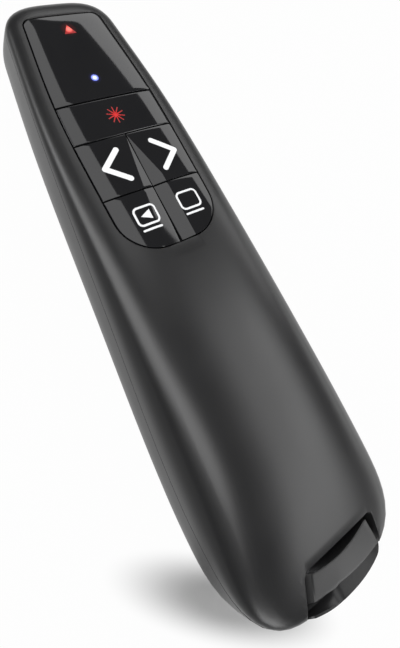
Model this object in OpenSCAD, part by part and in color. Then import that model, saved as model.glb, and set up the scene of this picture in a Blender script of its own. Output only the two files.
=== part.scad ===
// Wireless presentation clicker.
// +Y is the nose, +Z is the key side, and the part stands on z = 0.

/* [Casing] */
// Length from the tail to the nose
body_len = 130; // [127:1:138]
// Width that the tail rounds off from
tail_w = 38.4; // [37.4:0.2:39.4]
// Width across the palm
palm_w = 38.2; // [37.6:0.2:39.6]
// Width at the waist, behind the keys
waist_w = 34.5; // [34:0.2:36]
// Width beside the keys
grip_w = 30.1; // [29.6:0.2:31.4]
// Width that the nose rounds off from
nose_w = 22.8; // [22.4:0.2:24.4]
// Height that the tail rounds off from
tail_h = 21.4; // [21:0.2:22.4]
// Height of the palm
palm_h = 24.5; // [24:0.1:25.5]
// Height at the waist
waist_h = 23; // [22.6:0.1:23.8]
// Height beside the keys
grip_h = 19.6; // [19.2:0.1:20.2]
// Height that the nose rounds off from
nose_h = 17; // [16.8:0.1:17.6]
// Height of the seam at the tail
seam_tail = 19; // [18.6:0.1:19.4]
// Height of the seam at the palm
seam_palm = 13.4; // [13:0.1:14]
// Height of the seam beside the keys
seam_grip = 15.8; // [15.4:0.1:16]
// Height of the seam at the nose
seam_nose = 13.6; // [13.2:0.1:13.8]
// Thickness of the casing walls
wall = 1.8; // [1.6:0.1:2]
// Length of the rounded tail
tail_round = 20; // [18:0.5:22]
// Length of the rounded nose
nose_round = 7.6; // [7:0.1:8.4]

/* [Keys] */
// Distance from the nose to the glossy panel
panel_margin = 4.5; // [4.2:0.1:5.5]
// Width of the panel at its top
panel_top_w = 17.6; // [16.8:0.2:18]
// Width of the panel beside the page keys
panel_w = 22.4; // [21.6:0.2:23]
// Radius of the panel's top corners
panel_top_r = 1.8; // [1.4:0.1:2.6]
// Radius of the panel's bottom corners
panel_bottom_r = 7.8; // [6.8:0.1:8.4]
// Length of the indicator window
window_len = 21.9; // [21.4:0.1:22.4]
// Length of the laser key
laser_len = 9; // [8.6:0.1:9.6]
// Length of the two page keys
page_len = 12.5; // [12:0.1:13]
// Length of the two small keys
small_len = 12.6; // [12:0.1:13]
// Gap round each key
key_gap = 0.3; // [0.25:0.05:0.4]
// Thickness of a key at its thin edge
key_t = 1.4; // [1.2:0.1:1.5]
// Travel of a key
key_travel = 0.5; // [0.3:0.05:0.6]
// Diameter of the foot under a key
foot_d = 3; // [2.6:0.1:3.4]

/* [Board] */
// Thickness of the circuit board
board_t = 1; // [0.8:0.1:1.1]
// Height of the underside of the board
board_z = 12.6; // [12.5:0.05:12.8]
// Width of the board
board_w = 16.4; // [16:0.2:16.8]
// Side of a key switch
switch_side = 4.5; // [4:0.1:4.8]
// Height of a key switch's case
switch_h = 1.1; // [1:0.05:1.2]
// Diameter of a switch's plunger
plunger_d = 2.2; // [2:0.1:2.4]
// Clearance round a plunger
plunger_fit = 0.08; // [0.05:0.01:0.1]

/* [Battery bay] */
// Diameter of a cell
cell_d = 10.5; // [10.3:0.1:10.5]
// Length of a cell with its button
cell_len = 44.5; // [43.5:0.1:44.5]
// Height of a cell's button
button_h = 1; // [0.8:0.1:1.2]
// Gap between a cell and what is round it
cell_gap = 0.15; // [0.1:0.05:0.2]
// Room for a contact spring at the end of a cell
spring_room = 2.8; // [2.4:0.1:3]
// Thickness of a contact's sheet metal
contact_t = 0.3; // [0.25:0.05:0.4]
// Thickness of the battery door
door_t = 1.4; // [1.2:0.1:1.4]
// Gap round the battery door
door_gap = 0.3; // [0.3:0.05:0.4]
// Depth of the door's face above the resting plane
door_lift = 0.2; // [0.1:0.05:0.2]

/* [Laser] */
// Outer diameter of the laser barrel
barrel_d = 6; // [5.8:0.1:6.4]
// Length of the laser barrel
barrel_len = 15; // [14:0.5:16]
// Height of the beam
laser_z = 7.5; // [7:0.1:8]
// Diameter of the beam hole
beam_d = 4; // [3.4:0.1:4.2]

/* [Receiver] */
// Width of the receiver's head at its front
head_w = 16.5; // [16:0.1:17]
// Sideways place of the head's front
head_x = 1.25; // [1:0.05:1.5]
// Length of the receiver's head
head_len = 7.2; // [6.8:0.1:7.6]
// Sideways place of the plug
plug_x = 0.6; // [0.3:0.1:1]
// Width of the metal plug
plug_w = 12; // [12:0.1:12.2]
// Height of the metal plug
plug_h = 4.5; // [4.4:0.1:4.6]
// Length of the metal plug
plug_len = 12; // [11:0.5:12.5]
// Height of the plug's centre line
plug_z = 15.2; // [15:0.1:15.4]
// Clearance round the plug and the head
receiver_fit = 0.4; // [0.3:0.05:0.5]

/* [Power switch] */
// Distance of the power switch ahead of the battery bay
power_ahead = 12; // [11.6:0.1:12.4]
// Height of the power switch
power_z = 8; // [7.6:0.1:8.4]
// Length of the sliding knob
knob_len = 5.4; // [5:0.1:5.6]
// Height of the sliding knob
knob_h = 3; // [2.6:0.1:3.4]
// Travel of the knob
knob_travel = 3; // [2.4:0.1:3]

/* [Screws] */
// Diameter of a casing screw's shank
screw_d = 2; // [1.8:0.1:2.2]
// Diameter of a casing screw's head
screw_head_d = 3.8; // [3.6:0.1:4]

/* [Hidden] */

// Colours
satin_black = [0.16, 0.16, 0.17];
gloss_black = [0.06, 0.06, 0.07];
inner_black = [0.1, 0.1, 0.11];
board_green = [0.05, 0.3, 0.14];
steel = [0.72, 0.73, 0.75];
brass = [0.78, 0.62, 0.3];
gold = [0.86, 0.68, 0.26];
glow_red = [0.9, 0.12, 0.1];
glow_blue = [0.6, 0.68, 1];

// Ends of the casing and the stations that its curves pass through
tail_y = -body_len / 2;
nose_y = body_len / 2;
palm_y = -38;
waist_y = 0;
grip_y = 35;
width_stations = [[tail_y, tail_w / 2], [palm_y, palm_w / 2], [waist_y, waist_w / 2],
                  [grip_y, grip_w / 2], [nose_y, nose_w / 2]];
height_stations = [[tail_y, tail_h], [palm_y, palm_h], [waist_y, waist_h],
                   [grip_y, grip_h], [nose_y, nose_h]];
seam_stations = [[tail_y, seam_tail], [palm_y, seam_palm], [waist_y, (seam_palm + seam_grip) / 2],
                 [grip_y, seam_grip], [nose_y, seam_nose]];

// Exponents of the round cross-section and of the rounded ends
dome_n = 3.4;
tub_n = 3.6;
tail_n = 3.7;
nose_n = 2.8;
// How far the tub would bulge below its flat underside
belly = 1.6;
// Length of anything that cuts right through
big = 200;
// Overlap that fuses two solids of one piece
fuse = 0.2;

// Smooth curve through a list of [place, value] stations
function station(list, y, i = 0) =
    (i >= len(list) - 2 || y < list[i + 1][0]) ? i : station(list, y, i + 1);
function slope(list, i) =
    let (a = max(i - 1, 0), b = min(i + 1, len(list) - 1))
    (list[b][1] - list[a][1]) / (list[b][0] - list[a][0]);
function curve(list, y) =
    let (i = station(list, y),
         h = list[i + 1][0] - list[i][0],
         t = (y - list[i][0]) / h)
    (2 * t^3 - 3 * t^2 + 1) * list[i][1] + (t^3 - 2 * t^2 + t) * h * slope(list, i)
    + (3 * t^2 - 2 * t^3) * list[i + 1][1] + (t^3 - t^2) * h * slope(list, i + 1);

function half_w(y) = curve(width_stations, y);
function crown(y) = curve(height_stations, y);
function seam(y) = curve(seam_stations, y);

// Share of the section lost where the nose and the tail round off
function end_loss(y, inset) =
    let (half = body_len / 2,
         place = y * half / (half - inset),
         nose_t = max(0, (place - half + nose_round) / nose_round),
         tail_t = max(0, (tail_round - half - place) / tail_round))
    min(1, nose_t^nose_n + tail_t^tail_n);

// Height of the key side over a point of the plan
function top_z(x, y) =
    let (keep = 1 - (abs(x) / half_w(y))^dome_n - end_loss(y, 0))
    seam(y) + (crown(y) - seam(y)) * max(0, keep)^(1 / dome_n);
// Half width of the tub, or of its inner face, at one height
function tub_x(y, z, inset = 0) =
    (half_w(y) - inset) * (1 - (abs(seam(y) - z) / (seam(y) - inset + belly))^tub_n)^(1 / tub_n);

// Ring of points round the body at one place, shrunk by inset
ring = 44;
// Least share of the section that an end keeps, as a small flat end face
end_keep = 0.01;
function bow(value, power) = sign(value) * abs(value)^power;
function section(y, inset) =
    let (keep = max(end_keep, 1 - end_loss(y, inset)),
         w = (half_w(y) - inset) * keep^(1 / dome_n),
         up = (crown(y) - seam(y) - inset) * keep^(1 / dome_n),
         down = (seam(y) - inset + belly) * keep^(1 / tub_n))
    [for (k = [0 : ring - 1])
        let (a = 360 * (k + 0.5) / ring, c = cos(a), s = sin(a))
        s >= 0
            ? [w * bow(c, 2 / dome_n), y, seam(y) + up * abs(s)^(2 / dome_n)]
            : [w * bow(c, 2 / tub_n), y, max(inset, seam(y) - down * abs(s)^(2 / tub_n))]];

// Places along the body, closer together where the ends round
end_steps = 9;
mid_steps = 11;
function places(inset) =
    let (half = body_len / 2 - inset, tail_in = tail_round - half, nose_in = half - nose_round)
    concat(
        [for (k = [0 : end_steps]) -half + tail_round * (1 - cos(90 * k / end_steps))],
        [for (k = [1 : mid_steps - 1]) tail_in + (nose_in - tail_in) * k / mid_steps],
        [for (k = [0 : end_steps]) nose_in + nose_round * sin(90 * k / end_steps)]);

// Smooth skin over neighbouring rings
module skin(stops, inset) {
    rings = [for (y = stops) section(y, inset)];
    for (i = [0 : len(rings) - 2])
        hull()
            polyhedron(concat(rings[i], rings[i + 1]), [[for (k = [0 : 2 * ring - 1]) k]]);
}
module body_solid(inset = 0) {
    skin(places(inset), inset);
}

// Everything above the seam between the casings
module above_seam() {
    steps = 37;
    overrun = 0.37;
    rotate([90, 0, 90])
        linear_extrude(big, center = true)
            polygon(concat(
                [for (k = [0 : steps])
                    let (y = tail_y - overrun + (body_len + 2 * overrun) * k / steps)
                    [y, seam(min(nose_y, max(tail_y, y)))]],
                [[nose_y + overrun, big], [tail_y - overrun, big]]));
}

// A box given by its two corners
module box(low, high) {
    translate(low)
        cube(high - low);
}
// A round bar along Y
module bar(x, z, y_low, y_high, d) {
    translate([x, y_low, z])
        rotate([-90, 0, 0])
            cylinder(h = y_high - y_low, d = d, $fn = 48);
}
// A round bar along X, as long on either side
module axle(y, z, half, d) {
    translate([-half, y, z])
        rotate([0, 90, 0])
            cylinder(h = 2 * half, d = d, $fn = 32);
}
// An upright round post
module post(x, y, z_low, z_high, d) {
    translate([x, y, z_low])
        cylinder(h = z_high - z_low, d = d, $fn = 32);
}

// Rows of the key panel, from the nose towards the tail
panel_top = nose_y - panel_margin;
window_end = panel_top - window_len;
laser_end = window_end - laser_len;
page_end = laser_end - page_len;
panel_end = page_end - small_len;
// How much slimmer the panel is, each side, at its bottom and beside the laser key
panel_taper = [0.4, 0.1];
panel_stations = [[panel_end, panel_w / 2 - panel_taper[0]], [page_end, panel_w / 2],
                  [window_end, panel_w / 2 - panel_taper[1]], [panel_top, panel_top_w / 2]];
// Loss of half width at a round corner of radius r, a distance t into it
function corner(r, t) = r - sqrt(max(0, r * r - t * t));
function panel_half(y, shrink) =
    curve(panel_stations, y) - shrink
    - corner(panel_bottom_r - shrink, max(0, panel_end + panel_bottom_r - y))
    - corner(panel_top_r - shrink, max(0, y - panel_top + panel_top_r));
function panel_places(shrink) =
    let (low = panel_end + panel_bottom_r, high = panel_top - panel_top_r)
    concat(
        [for (a = [0 : 10 : 80]) low - (panel_bottom_r - shrink) * cos(a)],
        [for (k = [0 : 7]) low + (high - low) * k / 7],
        [for (a = [15 : 15 : 90]) high + (panel_top_r - shrink) * sin(a)]);
// Column with the panel's outline, standing on z_low
module panel_column(shrink, z_low) {
    stops = panel_places(shrink);
    last = len(stops) - 1;
    translate([0, 0, z_low])
        linear_extrude(big)
            polygon(concat(
                [for (y = stops) [panel_half(y, shrink), y]],
                [for (k = [last : -1 : 0]) [-panel_half(stops[k], shrink), stops[k]]]));
}
// Slab of the panel between two rows and two sides
side_left = -1;
side_both = 0;
side_right = 1;
function slab_floor(y_front) =
    top_z(min(panel_half(y_front - panel_top_r, 0), panel_w / 2), y_front) - key_t;
module key_slab(y_back, y_front, side) {
    half_gap = key_gap / 2;
    x_low = side == side_right ? half_gap : -panel_w;
    x_high = side == side_left ? -half_gap : panel_w;
    steps = 12;
    spare = 1;
    intersection() {
        skin([for (k = [0 : steps]) y_back - spare + (y_front - y_back + 2 * spare) * k / steps], 0);
        panel_column(key_gap, slab_floor(y_front));
        box([x_low, y_back + half_gap, 0], [x_high, y_front - half_gap, big]);
    }
}

// Circuit board and what stands on it
board_top = board_z + board_t;
switch_top = board_top + switch_h;
// What stays between the key or the plunger and what is under it, when it is pressed
stroke_spare = 0.12;
plunger_top = switch_top + key_travel + stroke_spare;
plunger_low = board_top + key_travel + stroke_spare;
page_x = panel_w / 4;
laser_key_at = [0, (window_end + laser_end) / 2];
previous_key_at = [-page_x, (laser_end + page_end) / 2];
next_key_at = [page_x, previous_key_at[1]];
// How far the feet of the two small keys lie ahead of their middles
small_key_shift = 1;
play_key_at = [-page_x, (page_end + panel_end) / 2 + small_key_shift];
screen_key_at = [page_x, play_key_at[1]];
key_places = [laser_key_at, previous_key_at, next_key_at, play_key_at, screen_key_at];
module key(y_back, y_front, side, at) {
    color(gloss_black)
        union() {
            key_slab(y_back, y_front, side);
            post(at[0], at[1], plunger_top, slab_floor(y_front) + fuse, foot_d);
        }
}
module plunger(at) {
    color(satin_black)
        post(at[0], at[1], plunger_low, plunger_top, plunger_d);
}

// Receiver and its tray: the head widens towards the tail, more on the left than on the right
head_flare = [2.05, 1.3];
head_back = tail_y + head_len;
function head_left(y) = head_x - head_w / 2 - head_flare[0] * (head_back - y) / head_len;
function head_right(y) = head_x + head_w / 2 + head_flare[1] * (head_back - y) / head_len;
head_room = 0.9;
recess_y = head_back + head_room;
recess_z = 9.6;
recess_side = 0.6;
recess_end = tail_y - 5;
tray_t = 1;
sleeve_t = 0.8;
plug_room = 2.1;
sleeve_end = recess_y + plug_len + plug_room;
plug_tip = head_back + plug_len;

// Battery bay
bay_t = 1;
bay_clear = 0.4;
bay_back = sleeve_end + bay_t + bay_clear;
bay_front = bay_back + cell_len + contact_t + spring_room;
// Half width: two cells, the gap between them and one beside each
bay_half = cell_d + 1.5 * cell_gap;
cell_x = (cell_d + cell_gap) / 2;
door_top = door_lift + door_t;
cell_z = door_top + cell_gap + cell_d / 2;

// Board outline: it overhangs the bay's front wall, reaches the panel's end and narrows into the nose
board_overhang = 1.2;
board_inset = 0.5;
board_tip_len = 7.6;
board_tip_w = 10;
board_chamfer = 3;
board_nose_gap = 7.4;
board_back = min(bay_front - board_overhang, panel_end + board_inset);
board_front = nose_y - board_nose_gap;
board_step = board_front - board_tip_len;
// Lights: the pointer's and the status light, behind the nose
led_back = [8.9, 21.3];
led_y = [nose_y - led_back[0], nose_y - led_back[1]];
led_side = 2;
led_h = 0.6;
guide_d = 1.6;
guide_fit = 0.05;
pointer_side = 2.6;

// Screws
boss_d = 6;
boss_z = 9;
screw_seat = 4.6;
screw_len = 8;
screw_spare = 0.4;
head_h = 1.5;
front_screw_ahead = 3.6;
front_screw_y = bay_front + front_screw_ahead;
rear_screw_in = 18;
rear_screw_y = tail_y + rear_screw_in;
// How far the screws stand from the middle, at the front and at the rear
front_screw_x = 10.8;
rear_screw_x = 11.4;
casing_screw_places = [[-front_screw_x, front_screw_y], [front_screw_x, front_screw_y],
                       [-rear_screw_x, rear_screw_y], [rear_screw_x, rear_screw_y]];
// Clearance round a screw head in its well and round a shank, and how much slimmer the upper bosses are
screw_well = 0.3;
screw_fit = 0.05;
boss_step = 1.4;
// Screws of the board, two near its front and one near its back
board_post_d = 3.8;
board_screw_d = 1.4;
board_screw_len = 6;
board_screw_head = 0.8;
board_screw_x = 6;
board_screw_in = [3.4, 2.6];
board_screw_places = [[-board_screw_x, board_step - board_screw_in[0]],
                      [board_screw_x, board_step - board_screw_in[0]],
                      [0, bay_front + board_screw_in[1]]];

// Power switch
power_y = bay_front + power_ahead;
power_x = tub_x(power_y, power_z);
knob_gap = 0.3;
knob_proud = 0.5;
slot_len = knob_len + knob_travel + 2 * knob_gap;
slot_h = knob_h + 2 * knob_gap;
// Flange that keeps the knob in, clear of the wall where the tub is slimmest along its travel
flange_t = 0.8;
flange_rim = 0.8;
flange_more = 1;
flange_h = knob_h + 2 * flange_rim;
flange_tip = power_y + (knob_travel + knob_len) / 2 + flange_more;
flange_x = tub_x(flange_tip, power_z - flange_h / 2, wall) - knob_gap - flange_t;
lever = 1.4;
lever_fit = 0.3;
switch_case_x = flange_x - knob_gap;
switch_case_deep = 3.4;
switch_case_h = 4.2;
switch_case_len = 9.2;

// Laser parts
barrel_wall = 0.6;
barrel_front = nose_y - wall - 0.1;
barrel_back = barrel_front - barrel_len;
barrel_bore = barrel_d - 2 * barrel_wall;
// Clearance round the barrel and round the window in front of it
barrel_fit = 0.05;

// Recess for the head: its left side runs along the head, its right side straight back
module recess(grow) {
    right = head_right(tail_y) + recess_side + grow;
    left = -receiver_fit - grow;
    translate([0, 0, recess_z - grow])
        linear_extrude(big)
            polygon([[head_left(recess_y) + left, recess_y + grow], [right, recess_y + grow],
                     [right, recess_end], [head_left(recess_end) + left, recess_end]]);
}

module upper_casing() {
    color(satin_black)
        difference() {
            union() {
                intersection() {
                    difference() {
                        body_solid();
                        body_solid(wall);
                    }
                    above_seam();
                }
                intersection() {
                    body_solid(wall / 2);
                    for (at = casing_screw_places)
                        post(at[0], at[1], boss_z, big, boss_d - boss_step);
                }
            }
            panel_column(0, board_top);
            recess(0);
            for (at = casing_screw_places)
                post(at[0], at[1], boss_z - 1, screw_seat + screw_len + screw_spare,
                     screw_d + 2 * screw_fit);
        }
}

// Walls, posts and saddles that stand inside the tub
module tub_fittings() {
    floor_z = wall / 2;
    bay_top = cell_z + 3;
    saddle_t = 2;
    saddle_wall = 1.4;
    cradle_t = 1.4;
    for (at = casing_screw_places)
        post(at[0], at[1], floor_z, boss_z, boss_d);
    for (at = board_screw_places)
        post(at[0], at[1], floor_z, board_z, board_post_d);
    for (y = [bay_back - bay_t, bay_front])
        box([-bay_half - bay_t, y, floor_z], [bay_half + bay_t, y + bay_t, bay_top]);
    for (side = [-1, 1])
        translate([side * (bay_half + bay_t / 2), 0, 0])
            box([-bay_t / 2, bay_back, floor_z], [bay_t / 2, bay_front, cell_z]);
    for (y = [barrel_back + saddle_t, barrel_front - 1.5 * saddle_t])
        box([-barrel_d / 2 - saddle_wall, y, floor_z],
            [barrel_d / 2 + saddle_wall, y + saddle_t, laser_z]);
    box([switch_case_x - switch_case_deep, power_y - switch_case_len / 2, floor_z],
        [switch_case_x, power_y + switch_case_len / 2, power_z - switch_case_h / 2]);
    for (side = [-1, 1])
        translate([plug_x + side * plug_w / 2, 0, 0])
            box([-cradle_t / 2, recess_y + tray_t + 1, floor_z],
                [cradle_t / 2, sleeve_end - 1, plug_z - plug_h / 2 - receiver_fit - sleeve_t]);
}

module lower_casing() {
    color(satin_black)
        difference() {
            union() {
                difference() {
                    body_solid();
                    body_solid(wall);
                    above_seam();
                }
                intersection() {
                    body_solid(wall / 2);
                    tub_fittings();
                }
            }
            recess(0);
            // Opening for the battery door, and the sockets of its hinge pins
            box([-bay_half, bay_back, -1], [bay_half, bay_front, wall + 0.01]);
            axle(hinge_y, hinge_z, pin_end + pin_fit, pin_d + 2 * pin_fit);
            // Slot for the power knob
            box([power_x - wall - 2, power_y - slot_len / 2, power_z - slot_h / 2],
                [big, power_y + slot_len / 2, power_z + slot_h / 2]);
            bar(0, laser_z, barrel_back - 1, barrel_front, barrel_d + 2 * barrel_fit);
            bar(0, laser_z, barrel_front - 1, nose_y + 1, beam_d);
            for (at = casing_screw_places) {
                post(at[0], at[1], -1, screw_seat, screw_head_d + 2 * screw_well);
                post(at[0], at[1], -1, boss_z + 1, screw_d + 2 * screw_fit);
            }
            for (at = board_screw_places)
                post(at[0], at[1], board_z - board_screw_len, board_z + 1,
                     board_screw_d + 2 * screw_fit);
        }
}

// Battery door: its round front edge turns about two pins in the casing's floor
door_back = bay_back + door_gap;
door_front = bay_front - door_gap;
door_half = bay_half - door_gap;
hinge_y = door_front - door_t / 2;
hinge_z = door_lift + door_t / 2;
pin_d = 0.8;
pin_fit = 0.1;
pin_end = bay_half + 0.8;
module battery_door() {
    latch_w = 3.2;
    latch_t = 0.8;
    latch_h = 1.1;
    grip_w = 8;
    rib_w = 0.8;
    rib_deep = 0.4;
    color(satin_black)
        difference() {
            union() {
                box([-door_half, door_back, door_lift], [door_half, hinge_y, door_top]);
                axle(hinge_y, hinge_z, door_half, door_t);
                axle(hinge_y, hinge_z, pin_end, pin_d);
                box([-latch_w / 2, door_back, door_top - fuse],
                    [latch_w / 2, door_back + latch_t, door_top + latch_h]);
            }
            // Thumb grip ribs, cut as shallow grooves
            for (k = [0 : 4])
                translate([0, door_back + 4 + 2 * rib_w * k, door_lift])
                    box([-grip_w / 2, 0, -1], [grip_w / 2, rib_w, rib_deep]);
        }
}

module indicator_window() {
    color(gloss_black)
        difference() {
            key_slab(window_end, panel_top + panel_top_r, side_both);
            pointer_prism(guide_fit);
            post(0, led_y[1], 0, big, guide_d + 2 * guide_fit);
        }
}
// Three-sided column of the pointer light, one corner towards the nose
module pointer_prism(grow) {
    translate([0, led_y[0], board_top + led_h])
        rotate([0, 0, 90])
            linear_extrude(big)
                circle(r = pointer_side / sqrt(3) + 2 * grow, $fn = 3);
}

module laser_button() {
    key(laser_end, window_end, side_both, laser_key_at);
}
module previous_button() {
    key(page_end, laser_end, side_left, previous_key_at);
}
module next_button() {
    key(page_end, laser_end, side_right, next_key_at);
}
module play_button() {
    key(panel_end - 1, page_end, side_left, play_key_at);
}
module blank_screen_button() {
    key(panel_end - 1, page_end, side_right, screen_key_at);
}

module key_switches() {
    half = switch_side / 2;
    color(steel)
        for (at = key_places)
            difference() {
                translate([at[0], at[1], 0])
                    box([-half, -half, board_top], [half, half, switch_top]);
                post(at[0], at[1], board_top - 1, switch_top + 1, plunger_d + 2 * plunger_fit);
            }
}

module circuit_board() {
    half = board_w / 2;
    tip = board_tip_w / 2;
    color(board_green)
        difference() {
            translate([0, 0, board_z])
                linear_extrude(board_t)
                    polygon([[-half, board_back], [half, board_back], [half, board_step],
                             [tip, board_step + board_chamfer], [tip, board_front],
                             [-tip, board_front], [-tip, board_step + board_chamfer],
                             [-half, board_step]]);
            for (at = board_screw_places)
                post(at[0], at[1], board_z - 1, board_top + 1, board_screw_d + 2 * screw_fit);
        }
}
module board_screws() {
    color(steel)
        for (at = board_screw_places) {
            post(at[0], at[1], board_top, board_top + board_screw_head, 2 * board_screw_d);
            post(at[0], at[1], board_z - board_screw_len + 0.5, board_top + fuse, board_screw_d);
        }
}
// Chip under the board, and the crystal ahead of it
chip_ahead = 14.65;
chip_side = 5;
crystal_ahead = 2.5;
module radio_chip() {
    thick = 0.9;
    color(inner_black)
        translate([-chip_side / 2, bay_front + chip_ahead, board_z - thick])
            cube([chip_side, chip_side, thick]);
}
module crystal() {
    size = [3.2, 2.5, 0.7];
    color(steel)
        translate([-size[0] / 2, bay_front + chip_ahead + chip_side + crystal_ahead, board_z - size[2]])
            cube(size);
}

module led(y) {
    translate([-led_side / 2, y - led_side / 2, board_top])
        cube([led_side, led_side, led_h]);
}
module pointer_led() {
    color(glow_red)
        led(led_y[0]);
}
module status_led() {
    color(glow_blue)
        led(led_y[1]);
}
// Guides end level with the panel
module pointer_light_guide() {
    color(glow_red)
        intersection() {
            skin([led_y[0] - 4, led_y[0] - 2, led_y[0], led_y[0] + 2, led_y[0] + 4], 0);
            pointer_prism(0);
        }
}
module status_light_guide() {
    color(glow_blue)
        intersection() {
            skin([led_y[1] - 4, led_y[1], led_y[1] + 4], 0);
            post(0, led_y[1], board_top + led_h, big, guide_d);
        }
}

module laser_barrel() {
    color(brass)
        difference() {
            bar(0, laser_z, barrel_back, barrel_front, barrel_d);
            bar(0, laser_z, barrel_back - 1, barrel_front + 1, barrel_bore);
        }
}
module laser_diode() {
    base_t = 1.4;
    can_len = 2.4;
    color(steel)
        union() {
            bar(0, laser_z, barrel_back, barrel_back + base_t, barrel_bore);
            bar(0, laser_z, barrel_back + base_t - fuse, barrel_back + base_t + can_len, barrel_bore - 1.2);
        }
}
module laser_lens() {
    lens_t = 1.8;
    lens_back = barrel_front - lens_t - 0.6;
    color(glow_blue)
        bar(0, laser_z, lens_back, lens_back + lens_t, barrel_bore);
}
module laser_window() {
    window_t = 0.9;
    color(glow_red)
        bar(0, laser_z, barrel_front, barrel_front + window_t, beam_d - 2 * barrel_fit);
}
module laser_leads() {
    lead_d = 0.5;
    lead_x = 1.2;
    lead_back = barrel_back - 2;
    color(gold)
        for (x = [-lead_x, lead_x])
            union() {
                bar(x, laser_z, lead_back, barrel_back, lead_d);
                post(x, lead_back, laser_z - lead_d / 2, board_z, lead_d);
            }
}

// A cell along Y, its button towards dir
button_d = 3.8;
module cell(x, y_low, y_high, dir) {
    can_low = dir < 0 ? y_low + button_h : y_low;
    can_high = dir > 0 ? y_high - button_h : y_high;
    bar(x, cell_z, can_low, can_high, cell_d);
    bar(x, cell_z, y_low, y_high, button_d);
}
module left_cell() {
    high = bay_front - contact_t;
    color(gold)
        cell(-cell_x, high - cell_len, high, 1);
}
module right_cell() {
    low = bay_back + contact_t;
    color(gold)
        cell(cell_x, low, low + cell_len, -1);
}

// Contact sheet on an end wall, and the bowed leaf that presses on a cell
contact_half = 3;
contact_reach = 2.6;
contact_low = cell_z - contact_reach;
leaf_w = 4;
leaf_t = 0.6;
module contact_sheet(x, y, top) {
    box([x - contact_half, y, contact_low], [x + contact_half, y + contact_t, top]);
}
module contact_leaf(x, y, dir) {
    reach = spring_room - contact_t;
    low = cell_z - contact_reach + leaf_t;
    high = cell_z + contact_reach - leaf_t;
    translate([x - leaf_w / 2, y, 0])
        rotate([90, 0, 90])
            linear_extrude(leaf_w)
                polygon([[0, low], [dir * reach, cell_z - leaf_t / 2],
                         [dir * reach, cell_z + leaf_t / 2], [0, high], [0, high - leaf_t],
                         [dir * (reach - contact_t), cell_z], [0, low + leaf_t]]);
}
module front_spring_contact() {
    color(steel)
        union() {
            contact_sheet(cell_x, bay_front - contact_t, board_z);
            contact_leaf(cell_x, bay_front - contact_t, -1);
        }
}
module front_plate_contact() {
    color(steel)
        contact_sheet(-cell_x, bay_front - contact_t, board_z);
}
module rear_bridge_contact() {
    color(steel)
        union() {
            box([-cell_x - contact_half, bay_back, contact_low],
                [cell_x + contact_half, bay_back + contact_t, cell_z + contact_reach]);
            contact_leaf(-cell_x, bay_back + contact_t, 1);
        }
}

// Tray that lines the recess and guides the plug
module receiver_tray() {
    fit_w = plug_w / 2 + receiver_fit;
    fit_h = plug_h / 2 + receiver_fit;
    color(inner_black)
        intersection() {
            body_solid(wall);
            difference() {
                union() {
                    recess(tray_t);
                    box([plug_x - fit_w - sleeve_t, recess_y, plug_z - fit_h - sleeve_t],
                        [plug_x + fit_w + sleeve_t, sleeve_end, plug_z + fit_h + sleeve_t]);
                }
                recess(0);
                box([plug_x - fit_w, recess_y - 1, plug_z - fit_h],
                    [plug_x + fit_w, sleeve_end - sleeve_t, plug_z + fit_h]);
            }
        }
}

// Head of the receiver: a sloping top, a curved ridge, and an end that follows the tail
shell_t = 0.3;
head_floor = recess_z + receiver_fit;
// Heights over or under the plug's middle, and places ahead of the tail's end
head_top_rise = 6.4;
head_slope = 0.17;
head_brow_rise = 4.2;
head_chin_drop = 2.4;
head_chin_in = 2.2;
ridge_in = 3.4;
ridge_slant = 4.2;
ridge_bow = 3;
// Chamfer along the left side of the top: its width and its depth
head_chamfer = [1.3, 1.2];
// Radius and depth of the fingernail scoop in the top's front edge
scoop_r = 24;
scoop_deep = 1.2;
scoop_clear = 0.75;
function head_top(y) = plug_z + head_top_rise - head_slope * (head_back - y);
function head_point(u, y, z) = [head_left(y) + u * (head_right(y) - head_left(y)), y, z];
module receiver_head() {
    steps = 12;
    parts = 4;
    end_wall = 2.4;
    pocket_h = 3.2;
    ridge = [for (k = [0 : parts])
        let (u = k / parts)
        [u, tail_y + ridge_in - ridge_slant * u + ridge_bow * u * u]];
    top = [for (at = ridge, y = [at[1], head_back])
        head_point(at[0], y, head_top(y)) + (at[0] == 0 ? [head_chamfer[0], 0, 0] : [0, 0, 0])];
    flank = [for (y = [ridge[0][1], head_back]) head_point(0, y, head_top(y) - head_chamfer[1])];
    rest = [for (u = [0, 1],
                 at = [[tail_y, plug_z + head_brow_rise], [tail_y, plug_z - head_chin_drop],
                       [tail_y + head_chin_in, head_floor], [head_back, head_floor]])
        head_point(u, at[0], at[1])];
    points = concat(top, flank, rest);
    middle = (head_left(tail_y) + head_right(tail_y)) / 2;
    half = (head_right(tail_y) - head_left(tail_y)) / 2 + 1;
    color(satin_black)
        difference() {
            intersection() {
                hull()
                    polyhedron(points, [[for (k = [0 : len(points) - 1]) k]]);
                linear_extrude(big)
                    polygon(concat(
                        [for (k = [-steps : steps])
                            let (x = middle + half * k / steps,
                                 keep = (abs(x) / half_w(tail_y))^dome_n)
                            [x, tail_y + tail_round * (1 - (1 - keep)^(1 / tail_n))]],
                        [[middle + half, head_back + 1], [middle - half, head_back + 1]]));
            }
            translate([head_x, head_back + scoop_r - scoop_deep, plug_z + plug_h / 2 + scoop_clear])
                cylinder(r = scoop_r, h = big, $fn = 120);
            // Room for the board, open towards the plug
            box([plug_x - plug_w / 2, tail_y + end_wall, plug_z - pocket_h / 2],
                [plug_x + plug_w / 2, head_back + 1, plug_z + pocket_h / 2]);
        }
}
receiver_board_t = 0.8;
receiver_board_w = 10.4;
receiver_board_in = 2.6;
module receiver_board() {
    half = receiver_board_w / 2;
    color(board_green)
        box([plug_x - half, tail_y + receiver_board_in, plug_z - receiver_board_t / 2],
            [plug_x + half, tongue_back, plug_z + receiver_board_t / 2]);
}
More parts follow.
